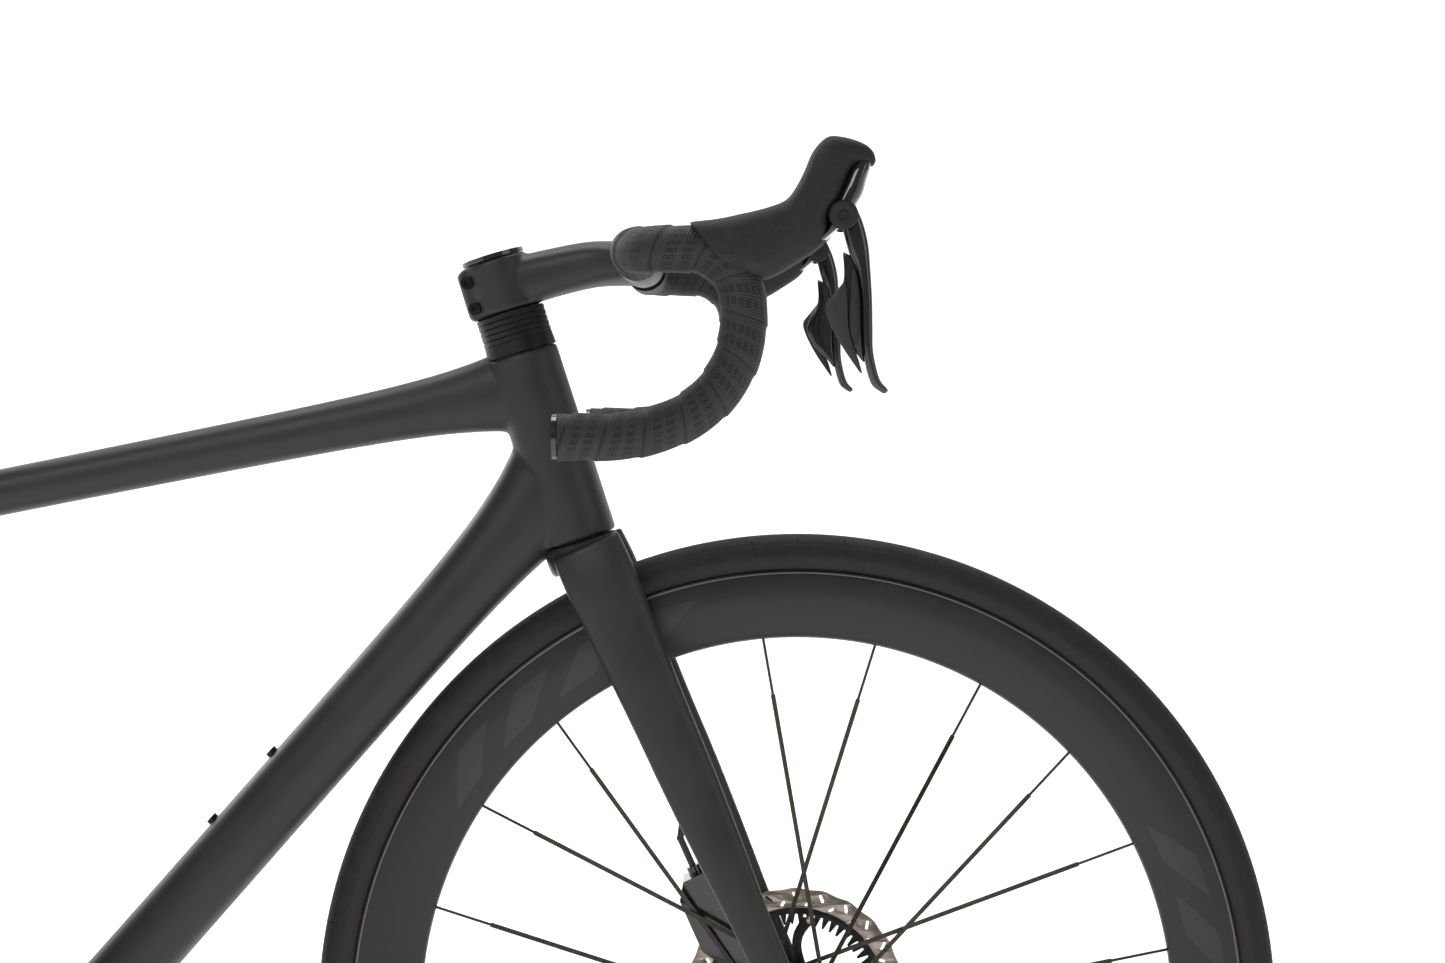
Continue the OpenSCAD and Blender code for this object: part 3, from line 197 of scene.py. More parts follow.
def modified(piece, kind, **values):
    """Adds a modifier and sets its values."""
    modifier = piece.modifiers.new(kind.lower(), kind)
    for key, value in values.items():
        setattr(modifier, key, value)
    return piece


def melted(piece, voxel, rounds=6):
    """Melts a piece's overlapping skins into one, with softly blended joints."""
    modified(piece, "REMESH", mode="VOXEL", voxel_size=voxel, use_smooth_shade=True)
    return modified(piece, "SMOOTH", iterations=rounds, factor=0.5)


def bevelled(piece, width, segments=2):
    """Rounds a piece's sharp edges."""
    return modified(piece, "BEVEL", width=width, segments=segments, limit_method="ANGLE",
                    angle_limit=math.radians(35))


def flat_cut(name, outlines, thickness, place):
    """A plate with holes: the first outline is its edge, the rest are cut out.

    place turns (u, v, w) into a point.
    """
    curve = bpy.data.curves.new(name, "CURVE")
    curve.dimensions = "2D"
    curve.fill_mode = "BOTH"
    curve.extrude = thickness / 2
    for outline in outlines:
        spline = curve.splines.new("POLY")
        spline.points.add(len(outline) - 1)
        for point, (u, v) in zip(spline.points, outline):
            point.co = (u, v, 0, 1)
        spline.use_cyclic_u = True
    draft = bpy.data.objects.new(name + "_draft", curve)
    bpy.context.scene.collection.objects.link(draft)
    bpy.context.view_layer.update()
    mesh = bpy.data.meshes.new_from_object(draft.evaluated_get(bpy.context.evaluated_depsgraph_get()))
    bpy.data.objects.remove(draft)
    bpy.data.curves.remove(curve)
    bm = bmesh.new()
    bm.from_mesh(mesh)
    bpy.data.meshes.remove(mesh)
    bmesh.ops.remove_doubles(bm, verts=bm.verts, dist=1e-6)
    for vert in bm.verts:
        vert.co = place(*vert.co)
    return bm


def joined(name, parts):
    """Joins several bmeshes into one object."""
    whole = bmesh.new()
    for part in parts:
        mesh = bpy.data.meshes.new("draft")
        part.to_mesh(mesh)
        part.free()
        whole.from_mesh(mesh)
        bpy.data.meshes.remove(mesh)
    return new_object(name, whole)


def settle(piece, material, slot, body, *stands_for):
    """Gives a piece its material and body, and hides the CAD nodes it stands for; slot is not used."""
    piece.data.materials.clear()
    piece.data.materials.append(material)
    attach(piece, body)
    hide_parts(*stands_for)
    return piece


# ---- Material helpers ----

class Graph:
    """A procedural material, built node by node."""

    def __init__(self, name):
        self.material = bpy.data.materials.new(name)
        self.material.use_nodes = True
        self.tree = self.material.node_tree
        self.shader = self.tree.nodes["Principled BSDF"]
        self.place = self.add("ShaderNodeTexCoord").outputs["Object"]

    def add(self, kind, **values):
        made = self.tree.nodes.new(kind)
        for key, value in values.items():
            setattr(made, key, value)
        return made

    def feed(self, socket, value):
        if isinstance(value, bpy.types.NodeSocket):
            self.tree.links.new(value, socket)
        else:
            socket.default_value = value

    def math(self, kind, *values):
        made = self.add("ShaderNodeMath", operation=kind)
        for socket, value in zip(made.inputs, values):
            self.feed(socket, value)
        return made.outputs[0]

    def noise(self, scale, detail=3.0, rough=0.5, where=None):
        made = self.add("ShaderNodeTexNoise")
        self.feed(made.inputs["Vector"], where or self.place)
        made.inputs["Scale"].default_value = scale
        made.inputs["Detail"].default_value = detail
        made.inputs["Roughness"].default_value = rough
        return made.outputs["Fac"]

    def cells(self, scale, where=None):
        made = self.add("ShaderNodeTexVoronoi")
        self.feed(made.inputs["Vector"], where or self.place)
        made.inputs["Scale"].default_value = scale
        return made.outputs["Distance"]

    def range(self, value, low, high, to_low, to_high):
        made = self.add("ShaderNodeMapRange")
        for socket, number in zip(made.inputs, (value, low, high, to_low, to_high)):
            self.feed(socket, number)
        return made.outputs[0]

    def stretch(self, scale):
        made = self.add("ShaderNodeMapping")
        self.feed(made.inputs["Vector"], self.place)
        made.inputs["Scale"].default_value = scale
        return made.outputs[0]

    def blend(self, share, a, b):
        made = self.add("ShaderNodeMix", data_type="RGBA")
        self.feed(made.inputs[0], share)
        colours = [s for s in made.inputs if s.type == "RGBA"]
        self.feed(colours[0], a)
        self.feed(colours[1], b)
        return [s for s in made.outputs if s.type == "RGBA"][0]

    def bump(self, height, depth, under=None):
        made = self.add("ShaderNodeBump")
        made.inputs["Strength"].default_value = 1.0
        made.inputs["Distance"].default_value = depth
        self.feed(made.inputs["Height"], height)
        if under:
            self.feed(made.inputs["Normal"], under)
        return made.outputs[0]

    def polar(self, hub):
        """(radius, turn from 0 to 1, y) about an axle through hub."""
        parts = self.add("ShaderNodeSeparateXYZ")
        self.feed(parts.inputs[0], self.place)
        x = self.math("SUBTRACT", parts.outputs[0], hub.x)
        z = self.math("SUBTRACT", parts.outputs[2], hub.z)
        radius = self.math("SQRT", self.math("ADD", self.math("MULTIPLY", x, x), self.math("MULTIPLY", z, z)))
        turn = self.math("ADD", self.math("DIVIDE", self.math("ARCTAN2", z, x), 2 * math.pi), 0.5)
        return radius, turn, parts.outputs[1]

    def done(self, colour, roughness, normal=None, **sockets):
        self.feed(self.shader.inputs["Base Color"], colour)
        self.feed(self.shader.inputs["Roughness"], roughness)
        if normal:
            self.feed(self.shader.inputs["Normal"], normal)
        for key, value in sockets.items():
            self.shader.inputs[key.replace("_", " ")].default_value = value
        return self.material


def grey(value, warm=0.0):
    """A near-neutral colour, warmer as warm grows."""
    return (value * (1 + warm), value, value * (1 - warm), 1)


def carbon():
    g = Graph("matte_carbon")
    cloud = g.noise(24, 5, 0.6)
    flakes = g.cells(900, g.stretch((1, 1, 2.2)))
    mixed = g.math("ADD", g.math("MULTIPLY", cloud, 0.7), g.math("MULTIPLY", flakes, 0.25))
    tone = g.range(mixed, 0.2, 0.75, 0, 1)
    fine = g.noise(1600, 2)
    return g.done(g.blend(tone, grey(0.013, 0.05), grey(0.024, 0.05)), g.range(cloud, 0.3, 0.7, 0.38, 0.5),
                  g.bump(fine, 0.00002), Specular_IOR_Level=0.36)


def moulded(name, low, high, rough, grain=1400, depth=0.00004, warm=0.0, **sockets):
    """A moulded or painted surface with a fine grain and slow changes of tone."""
    g = Graph(name)
    cloud = g.noise(35, 4, 0.55)
    fine = g.noise(grain, 3)
    return g.done(g.blend(g.range(cloud, 0.3, 0.7, 0, 1), grey(low, warm), grey(high, warm)),
                  g.range(cloud, 0.3, 0.7, rough - 0.05, rough + 0.05), g.bump(fine, depth), **sockets)


def metal(name, low, high, rough, warm=0.0, stretch=(1, 60, 1), depth=0.00002, metallic=1.0):
    """A brushed metal, its scratches drawn out across the stretch."""
    g = Graph(name)
    lines = g.noise(90, 4, 0.65, g.stretch(stretch))
    cloud = g.noise(60, 3)
    return g.done(g.blend(g.range(lines, 0.3, 0.7, 0, 1), grey(low, warm), grey(high, warm)),
                  g.range(cloud, 0.3, 0.7, rough - 0.06, rough + 0.08),
                  g.bump(lines, depth), Metallic=metallic)


def turned(name, hub, low, high, rough, warm=0.0):
    """A metal disc with fine circles about its axle."""
    g = Graph(name)
    radius, turn, _ = g.polar(hub)
    where = join_vector(g, g.math("MULTIPLY", radius, 2600), g.math("MULTIPLY", turn, 9), 0.0)
    circles = g.noise(1.0, 5, 0.7, where)
    cloud = g.noise(70, 3)
    return g.done(g.blend(g.range(circles, 0.3, 0.7, 0, 1), grey(low, warm), grey(high, warm)),
                  g.range(cloud, 0.3, 0.7, rough - 0.05, rough + 0.07),
                  g.bump(circles, 0.00002), Metallic=1.0)


def join_vector(g, x, y, z):
    made = g.add("ShaderNodeCombineXYZ")
    for socket, value in zip(made.inputs, (x, y, z)):
        g.feed(socket, value)
    return made.outputs[0]


def rubber_hood():
    g = Graph("hood_rubber")
    cloud = g.noise(40, 4)
    dots = g.range(g.cells(1500), 0.1, 0.5, 1, 0)
    fine = g.noise(2600, 2)
    dust = g.range(g.noise(120, 5, 0.7), 0.5, 0.8, 0, 1)
    return g.done(g.blend(dust, grey(0.014), grey(0.024)), g.range(cloud, 0.3, 0.7, 0.58, 0.72),
                  g.bump(fine, 0.00002, g.bump(dots, 0.00005)), Specular_IOR_Level=0.28)


# How far the tape advances in one turn, and how far apart its rings of vertices are
TAPE_PITCH = 0.026
TAPE_STEP = 0.0013
HOLE_PITCH = 0.0046
HOLE_ROWS = (0.12, 0.22)


def tape_material():
    """Ribbed tape with double rows of ringed holes along its windings; the rings round the holes and the creases
    between windings are painted near-black as shade.
    """
    g = Graph("bar_tape")
    uv = g.add("ShaderNodeUVMap", uv_map="tape").outputs[0]
    parts = g.add("ShaderNodeSeparateXYZ")
    g.feed(parts.inputs[0], uv)
    along, turn = parts.outputs[0], parts.outputs[1]
    wound = g.math("ADD", g.math("DIVIDE", along, TAPE_PITCH), turn)
    across = g.math("ABSOLUTE", g.math("SUBTRACT", g.math("FRACT", wound), 0.5))
    length = g.math("MULTIPLY", turn, 2 * math.pi * TAPE_R)
    repeat = g.math("FRACT", g.math("DIVIDE", length, HOLE_PITCH))
    step = g.math("MULTIPLY", g.math("SUBTRACT", repeat, 0.5), HOLE_PITCH)
    rows = [g.math("MULTIPLY", g.math("SUBTRACT", across, row), TAPE_PITCH) for row in HOLE_ROWS]
    squares = [g.math("ADD", g.math("MULTIPLY", r, r), g.math("MULTIPLY", step, step)) for r in rows]
    gaps = [g.math("SQRT", square) for square in squares]
    near = g.math("MINIMUM", *gaps)
    hole = g.range(near, 0.0003, 0.0006, 1, 0)
    # The ring round each hole is a recessed groove, coloured near-black as painted shade.
    ring = g.math("MULTIPLY", g.range(near, 0.0006, 0.0008, 0, 1), g.range(near, 0.0012, 0.0015, 1, 0))
    # A near-black line along each winding's edge, where it laps over the next: painted shade in the crease.
    painted_crease_shade = g.range(across, 0.455, 0.49, 0, 1)
    ribs = g.math("SINE", g.math("MULTIPLY", g.math("FRACT", wound), 2 * math.pi * 14))
    fine = g.noise(1800, 3)
    base = g.blend(g.noise(45, 4), grey(0.014), grey(0.026))
    colour = g.blend(painted_crease_shade, g.blend(ring, g.blend(hole, base, grey(0.03)), grey(0.003)), grey(0.003))
    height = g.math("SUBTRACT", g.math("MULTIPLY", ribs, 0.3), ring)
    return g.done(colour, g.range(fine, 0.3, 0.7, 0.5, 0.66), g.bump(fine, 0.00003, g.bump(height, 0.0004)),
                  Specular_IOR_Level=0.35)


def tyre_material(name, hub):
    """Black tread over a brown-black sidewall, with fine mould lines."""
    g = Graph(name)
    radius, turn, _ = g.polar(hub)
    side = g.range(radius, TYRE_MID_R - 0.0015, TYRE_MID_R + 0.0015, 1, 0)
    lines = g.math("SINE", g.math("MULTIPLY", radius, 2 * math.pi / 0.0011))
    slant = g.math("MULTIPLY", radius, 2600)
    threads = g.math("SINE", g.math("ADD", g.math("MULTIPLY", turn, 2 * math.pi * 1400), slant))
    speckle = g.noise(700, 4, 0.7)
    dust = g.range(g.noise(60, 5, 0.65), 0.45, 0.8, 0, 1)
    tread = g.blend(dust, grey(0.008), grey(0.016))
    wall = g.blend(speckle, grey(0.009, 0.1), grey(0.019, 0.1))
    height = g.math("ADD", g.math("MULTIPLY", lines, 0.15),
                    g.math("MULTIPLY", g.math("MULTIPLY", threads, side), 0.3))
    return g.done(g.blend(side, tread, wall), g.range(speckle, 0.3, 0.7, 0.62, 0.8),
                  g.bump(speckle, 0.00008, g.bump(height, 0.00008)), Specular_IOR_Level=0.35)


def rim_material(name, hub):
    """Satin carbon with tone-on-tone slanted bars, and a thin bright line painted along the rim's edge as a
    highlight.
    """
    g = Graph(name)
    radius, turn, _ = g.polar(hub)
    slanted = g.math("ADD", g.math("MULTIPLY", turn, 3), g.math("MULTIPLY", radius, 2.4))
    zone = g.math("FRACT", slanted)
    bars = g.math("FRACT", g.math("MULTIPLY", slanted, 11))
    in_zone = g.math("MULTIPLY", g.range(zone, 0.08, 0.081, 0, 1), g.range(zone, 0.42, 0.421, 1, 0))
    in_band = g.math("MULTIPLY", g.range(radius, 0.281, 0.2814, 0, 1), g.range(radius, 0.3040, 0.3044, 1, 0))
    mark = g.math("MULTIPLY", g.math("MULTIPLY", in_zone, in_band), g.range(bars, 0.55, 0.56, 1, 0))
    # A thin pale ring just below the rim's top edge: a painted highlight.
    edge = g.math("MULTIPLY", g.range(radius, 0.3139, 0.3141, 0, 1), g.range(radius, 0.3147, 0.3149, 1, 0))
    cloud = g.noise(30, 5, 0.6)
    base = g.blend(cloud, grey(0.006), grey(0.011))
    colour = g.blend(edge, g.blend(mark, base, grey(0.02)), grey(0.14))
    return g.done(colour, g.range(cloud, 0.3, 0.7, 0.30, 0.40), g.bump(g.noise(1500, 2), 0.000015),
                  Specular_IOR_Level=0.4)


def leather():
    g = Graph("saddle_cover")
    grain = g.cells(520)
    fine = g.noise(1500, 3)
    cloud = g.noise(30, 4)
    return g.done(g.blend(cloud, grey(0.012), grey(0.02)), g.range(grain, 0.0, 0.6, 0.62, 0.46),
                  g.bump(fine, 0.00003, g.bump(grain, 0.00012)))


CARBON = carbon()
HOOD = rubber_hood()
TAPE = tape_material()
LEATHER = leather()
GLOSS = moulded("gloss_black", 0.004, 0.008, 0.12, 900, 0.00001, Coat_Weight=0.6, Coat_Roughness=0.06)
GLOSS_ALLOY = moulded("gloss_black_alloy", 0.005, 0.009, 0.17, 900, 0.00001, Coat_Weight=0.5,
                      Coat_Roughness=0.08)
SATIN = metal("satin_black_alloy", 0.010, 0.018, 0.38, metallic=0.6)
PLASTIC = moulded("moulded_black", 0.009, 0.016, 0.5)
RIBBED = moulded("ribbed_button", 0.007, 0.013, 0.42, 700, 0.0001)
HOSE = moulded("hose", 0.008, 0.013, 0.4)
DARK_STEEL = metal("black_oxide", 0.016, 0.03, 0.34)
BEARING = metal("sealed_steel", 0.02, 0.04, 0.3)
RAIL = metal("rail_steel", 0.22, 0.3, 0.3)
SPOKE = metal("bronze_spoke", 0.03, 0.055, 0.34, 0.12)
CHAIN = metal("chain_steel", 0.26, 0.4, 0.3, 0.02, (40, 40, 40))
PAD = metal("pad_plate", 0.16, 0.26, 0.5, 0.1, (8, 8, 8))
FINISHES = {
    "carbon": CARBON, "satin_black": SATIN, "bearing_steel": BEARING, "cup_black": SATIN, "rail_steel": RAIL,
    "saddle_plastic": PLASTIC, "saddle_leather": LEATHER, "bolt_black": DARK_STEEL, "hanger_alloy": SATIN,
    "gloss_alloy": GLOSS_ALLOY, "pad_metal": PAD, "gloss_plastic": GLOSS, "button_plastic": RIBBED,
    "plug_plastic": GLOSS, "hood_rubber": HOOD, "tape": TAPE, "hose_rubber": HOSE, "chain_steel": CHAIN,
    "ring_alloy": turned("chainring_black", BB, 0.025, 0.04, 0.36), "cage_steel": SATIN,
    "pulley_plastic": PLASTIC, "spoke_steel": SPOKE,
    "rotor_steel": PAD, "tyre": PLASTIC, "rim_carbon": CARBON,
}

# ---- CAD nodes that stay: rounded edges and a finish by their slot ----

subparts = {part["node"]: part for part in frame["record"]["subparts"]}
for node_name, node in nodes.items():
    slot_name = subparts[node_name]["material_slot"]
    node.data.materials.clear()
    node.data.materials.append(FINISHES[slot_name])


SOFTENED = {
    0.0006: ["crankset", "left_crank", "derailleur_body", "derailleur_link", "front_derailleur_body",
             "front_caliper", "rear_caliper", "seatpost_clamp", "saddle_clamp", "bar_end_plugs", "stem_cap",
             "headset_cover"],
    0.0003: ["front_hub", "rear_hub", "derailleur_cage", "front_derailleur_cage", "bottle_bolts",
             "stem_bolts", "headset_spacers", "derailleur_hanger", "front_axle", "rear_axle"],
}
for width, names in SOFTENED.items():
    for node_name in names:
        bevelled(nodes[node_name], width)


# ---- The frame: one carbon skin over the main triangle and both pairs of stays ----

DROPOUT_IN = 0.071
DROPOUT_OUT = 0.080
EYE_R = 0.0155
SHELL_R = 0.024
SHELL_HALF = 0.042


def flared_tube(bm, a, b, r_a, r_b, flare_a, flare_b, squash=1.0, reach=0.045):
    """A tube that deepens by flare_a and flare_b towards its ends, so that it grows out of its neighbours."""
    way = (b - a).normalized()
    up = Vector((-way.z, 0, way.x))
    length = (b - a).length
    sections = []
    for i in range(61):
        share = i / 60
        r = r_a + (r_b - r_a) * share
        deep = r + flare_a * math.exp(-share * length / reach)
        deep += flare_b * math.exp((share - 1) * length / reach)
        sections.append((a.lerp(b, share), Y, up, squash * r, deep, 2.1))
    loft(bm, sections, 48)


def add_stays(bm, end, stations):
    """Both stays from the rear axle to end. stations: (distance, half depth, inner y, outer y)."""
    way = (end - REAR_HUB).normalized()
    up = Vector((-way.z, 0, way.x))
    path = smooth_path(stations, 6)
    eye = [(DROPOUT_IN, EYE_R - 0.001), (DROPOUT_IN + 0.001, EYE_R), (DROPOUT_OUT - 0.001, EYE_R),
           (DROPOUT_OUT, EYE_R - 0.001)]
    for side in (-1, 1):
        loft(bm, [(REAR_HUB + p[0] * way + side * Y * (p[2] + p[3]) / 2, Y, up, (p[3] - p[2]) / 2, p[1], 2.8)
                  for p in path], 32)
        loft(bm, [(REAR_HUB + side * Y * y, FORE, Z, r, r, 2.0) for y, r in eye], 40)


def frame_skin():
    bm = bmesh.new()
    flared_tube(bm, steer(HEAD_LOW), steer(HEAD_HIGH), 0.0270, 0.0251, 0, 0)
    flared_tube(bm, seat(0.434), steer(HEAD_HIGH - 0.025), 0.0155, 0.0180, 0.006, 0.017, 0.96)
    flared_tube(bm, BB + Vector((0.004, 0, 0)), steer(HEAD_LOW + 0.045), 0.0250, 0.0240, 0.004, 0.018, 0.98)
    flared_tube(bm, BB, seat(SEAT_TOP), 0.0170, 0.0170, 0.006, 0)
    loft(bm, [(BB + Y * y, FORE, Z, r, r, 2) for y, r in (
        (-SHELL_HALF, SHELL_R - 0.001), (1.5e-3 - SHELL_HALF, SHELL_R), (SHELL_HALF - 1.5e-3, SHELL_R),
        (SHELL_HALF, SHELL_R - 0.001))], 48)
    chainstay = (BB - REAR_HUB).length
    add_stays(bm, BB, [(0.005, 0.011, 0.0712, 0.0798), (0.022, 0.0115, 0.0712, 0.0798),
                       (0.10, 0.0125, 0.065, 0.0745), (0.42 * chainstay, 0.014, 0.0455, 0.057),
                       (0.72 * chainstay, 0.016, 0.0250, 0.0375), (chainstay - 0.016, 0.018, 0.0250, 0.0375)])
    top = seat(0.330)
    seatstay = (top - REAR_HUB).length
    add_stays(bm, top, [(0.008, 0.008, 0.0712, 0.0798), (0.024, 0.0078, 0.0712, 0.0798),
                        (0.45 * seatstay, 0.0076, 0.0485, 0.0590), (0.8 * seatstay, 0.0076, 0.026, 0.037),
                        (seatstay - 0.004, 0.0085, 0.010, 0.021), (seatstay + 0.006, 0.0085, 0.006, 0.016)])
    return melted(new_object("frame_skin", bm), 0.0018, 10)


settle(frame_skin(), CARBON, "carbon", "frame", "front_triangle", "chainstays", "seatstays")


# ---- The fork: two blades that sweep into the crown ----

FORK_ANGLE = math.radians(114)
# Stations up a blade are (distance from the axle, half depth, inner y, outer y)
FORK_BLADE = [
    (-0.012, 0.0085, 0.0503, 0.0622), (0.0, 0.0130, 0.0502, 0.0628), (0.030, 0.0132, 0.0500, 0.0620),
    (0.075, 0.0139, 0.0482, 0.0600), (0.130, 0.0170, 0.0430, 0.0575), (0.185, 0.0197, 0.0362, 0.0530),
    (0.240, 0.0212, 0.0310, 0.0490), (0.297, 0.0236, 0.0245, 0.0450), (0.340, 0.0256, 0.0190, 0.0420),
    (0.366, 0.0250, 0.0140, 0.0370),
]
# Stations down the crown are (distance below the head tube, half width, half depth)
FORK_CROWN = [
    (0.0, 0.0265, 0.0265), (0.003, 0.0272, 0.0270), (0.010, 0.0310, 0.0268), (0.016, 0.0345, 0.0262),
    (0.0195, 0.0350, 0.0250),
]
CROWN_GAP = 0.0007


def fork_skin():
    bm = bmesh.new()
    way = Vector((math.cos(FORK_ANGLE), 0, math.sin(FORK_ANGLE)))
    up = Vector((-way.z, 0, way.x))
    for side in (-1, 1):
        sections = []
        for p in smooth_path(FORK_BLADE, 6):
            centre = FRONT_HUB + p[0] * way + side * Y * (p[2] + p[3]) / 2
            sections.append((centre, Y, up, (p[3] - p[2]) / 2, p[1], 2.4))
        loft(bm, sections, 40)
    loft(bm, [(steer(HEAD_LOW - CROWN_GAP - drop), Y, STEER_FORE, wide, deep, 2.3)
              for drop, wide, deep in FORK_CROWN], 48)
    return melted(new_object("fork_skin", bm), 0.0016, 8)


settle(fork_skin(), CARBON, "carbon", "steering", "fork")


# ---- Handlebar: stem and bar in one piece, with tape wound from the tops to the ends ----

def arc(centre, radius, start, stop, count):
    """Points along a round stretch in the plane of X and Z."""
    return [centre + radius * Vector((math.cos(a), 0, math.sin(a))) for a in turns(start, stop, count)]


def bar_path(side):
    """Evenly spaced points along one half of the bar, from its middle to the end of the drop."""
    points = [BAR + Vector((0, side * (BAR_HALF - BEND_R) * i / 80, 0)) for i in range(80)]
    for a in turns(0, math.pi / 2, 40):
        across = side * (BAR_HALF - BEND_R * (1 - math.sin(a)))
        points.append(BAR + Vector((BEND_R * (1 - math.cos(a)), across, 0)))
    middle = BAR + Vector((BAR_REACH - SHOULDER_R, side * BAR_HALF, -SHOULDER_R))
    points += arc(middle, SHOULDER_R, math.pi / 2, 0, 40)
    hook = BAR + Vector((BAR_REACH - HOOK_R, side * BAR_HALF, -SHOULDER_R - HOOK_DROP))
    points += arc(hook, HOOK_R, 0, HOOK_SPLIT, 60)
    end = hook + (HOOK_R - HOOK_END_R) * Vector((math.cos(HOOK_SPLIT), 0, math.sin(HOOK_SPLIT)))
    points += arc(end, HOOK_END_R, HOOK_SPLIT, -math.pi / 2, 30)
    points.append(points[-1] - Vector((DROP_RUN, 0, 0)))
    return evened(points, TAPE_STEP)


def turns(start, stop, count):
    return [start + (stop - start) * i / count for i in range(count + 1)]


def evened(points, step):
    """The same line with its points a step apart."""
    out = [points[0]]
    left = step
    for a, b in zip(points, points[1:]):
        length = (b - a).length
        while length > left:
            a = a.lerp(b, left / length)
            length -= left
            out.append(a)
            left = step
        left -= length
    return out + [points[-1]]


STEM_LEAN = Vector((-0.17, 0, 0.985))
# Stations along the stem are (middle, half height, half width, up)
STEM = [
    (steer(STEM_LOW + 0.0195), 0.0186, 0.0205, STEER_UP),
    (BAR + Vector((-0.064, 0, -0.0062)), 0.0172, 0.0200, STEM_LEAN),
    (BAR + Vector((-0.036, 0, -0.0002)), 0.0164, 0.0225, STEM_LEAN),
    (BAR + Vector((-0.016, 0, 0.0006)), 0.0157, 0.0310, Z),
    (BAR + Vector((0.002, 0, 0)), 0.0150, 0.0350, Z),
]
CLAMP_R = 0.0236
BOLT_BOSS_BACK = 0.0205
# The bar's radius at distances from its middle: (y, radius)
BAR_SWELL = [(0.02, 0.0152), (0.042, 0.0149), (0.056, 0.0128), (0.066, BAR_R), (0.088, BAR_R)]


def cockpit_skin():
    bm = bmesh.new()
    low, high = STEM_LOW + 0.0006, STEM_HIGH - 0.0004
    loft(bm, [(steer(s), Y, STEER_FORE, r, r, 2) for s, r in (
        (low, CLAMP_R - 0.0014), (low + 0.002, CLAMP_R), (high - 0.002, CLAMP_R),
        (high, CLAMP_R - 0.0012))], 48)
    path = smooth_path([(*centre, h, w, up.x, up.z) for centre, h, w, up in STEM], 8)
    loft(bm, [(Vector(p[:3]), Y, Vector((p[5], 0, p[6])).normalized(), p[4], p[3], 2.6) for p in path], 48)
    loft(bm, [(steer(s, -BOLT_BOSS_BACK), Y, STEER_FORE, wide, deep, 2.4) for s, wide, deep in (
        (low, 0.0105, 0.0050), (low + 0.003, 0.0125, 0.0078), (high - 0.004, 0.0125, 0.0078),
        (high - 0.001, 0.0105, 0.0050))], 40)
    both = [(-y, r) for y, r in reversed(BAR_SWELL)] + BAR_SWELL
    loft(bm, [(BAR + Y * y, FORE, Z, r, r, 2) for y, r in both], 48)
    return melted(new_object("stem_skin", bm), 0.0014, 8)


settle(cockpit_skin(), CARBON, "carbon", "steering", "cockpit")


# The tape's laps rise by TAPE_LAP over LAP_SHARE of a turn, then drop to the turn below
TAPE_LAP = 0.0010
LAP_SHARE = 0.95
BAND_HALF = 0.004


def tape_winding(name, side):
    """Tape wound along one side: each turn laps over the one before."""
    path = [p for p in bar_path(side) if abs(p.y) >= TAPE_START]

    def radius(i, t):
        wound = i * TAPE_STEP / TAPE_PITCH + t / (2 * math.pi)
        share = wound % 1
        lap = TAPE_LAP * (share if share < LAP_SHARE else (1 - share) / (1 - LAP_SHARE))
        ends = min(i, len(path) - 1 - i)
        return TAPE_R - 0.0008 + lap - (0.0012 if ends < 1 else 0)

    bm = bmesh.new()
    rings = sweep(bm, path, radius, 72, Z)
    bm.faces.ensure_lookup_table()
    layer = bm.loops.layers.uv.new("tape")
    where = {}
    for i, ring in enumerate(rings):
        for k, vert in enumerate(ring):
            where[vert] = (i * TAPE_STEP, k / len(ring))
    for face in bm.faces:
        turn_values = [where[loop.vert][1] for loop in face.loops]
        wraps = max(turn_values) - min(turn_values) > 0.5
        for loop in face.loops:
            along, turn = where[loop.vert]
            loop[layer].uv = (along, turn + 1 if wraps and turn < 0.5 else turn)
    return new_object(name, bm)


def tape_band(name, side):
    """The finishing band that holds the tape's start on the tops."""
    bm = bmesh.new()
    ring = [(TAPE_R + 0.0001 + 0.0004 * math.cos(a), BAND_HALF * math.sin(a)) for a in turns(0, math.pi, 8)]
    profile = [(BAR_R, -BAND_HALF)] + [(r, -y) for r, y in ring] + [(BAR_R, BAND_HALF)]
    lathe(bm, profile, BAR + Vector((0, side * (TAPE_START + BAND_HALF), 0)), 64)
    return new_object(name, bm)


for side, name in ((-1, "right_tape"), (1, "left_tape")):
    settle(tape_winding(name, side), TAPE, "tape", "steering", "bar_tape")
    settle(tape_band(name + "_band", side), PLASTIC, "tape", "steering", "bar_tape")


# ---- Hoods: a loft from the tail on the bar to the knob ----

# Stations are (upper x, upper z, lower x, lower z, half width) in mm from the bar's shoulder
HOOD_STATIONS = [
    (-33.8, 16, -11.9, -12, 16.4), (-31, 17, -8, -14, 18.4), (-16, 18.8, 4, -18.5, 18.9),
    (-2.5, 21.6, 16.3, -18.6, 18.9), (14, 25.5, 35, -8.3, 18.9), (26.2, 30.4, 51, 4, 18.9),
    (33, 39, 53, 19, 18.4), (38.1, 49, 60, 31, 17.6), (43.5, 61, 66, 46, 16.6), (52, 69.4, 70.5, 51.6, 15.2),
    (61, 69.6, 74.5, 51.4, 13.6), (70, 67.4, 78, 51.2, 11.6), (77, 64.2, 81, 51.6, 9),
    (81.2, 60, 82.6, 54.6, 5),
]


def side_section(p, side, inward, power):
    """A loft's section between two points of a side view: p is (x, z, x, z, half width), in metres."""
    y = side * (BAR_HALF - inward)
    a = LEVER + Vector((p[0], y, p[1]))
    b = LEVER + Vector((p[2], y, p[3]))
    return (a + b) / 2, Y, (a - b).normalized(), p[4], (a - b).length / 2, power


def in_metres(stations):
    return [tuple(n / 1000 for n in station) for station in stations]


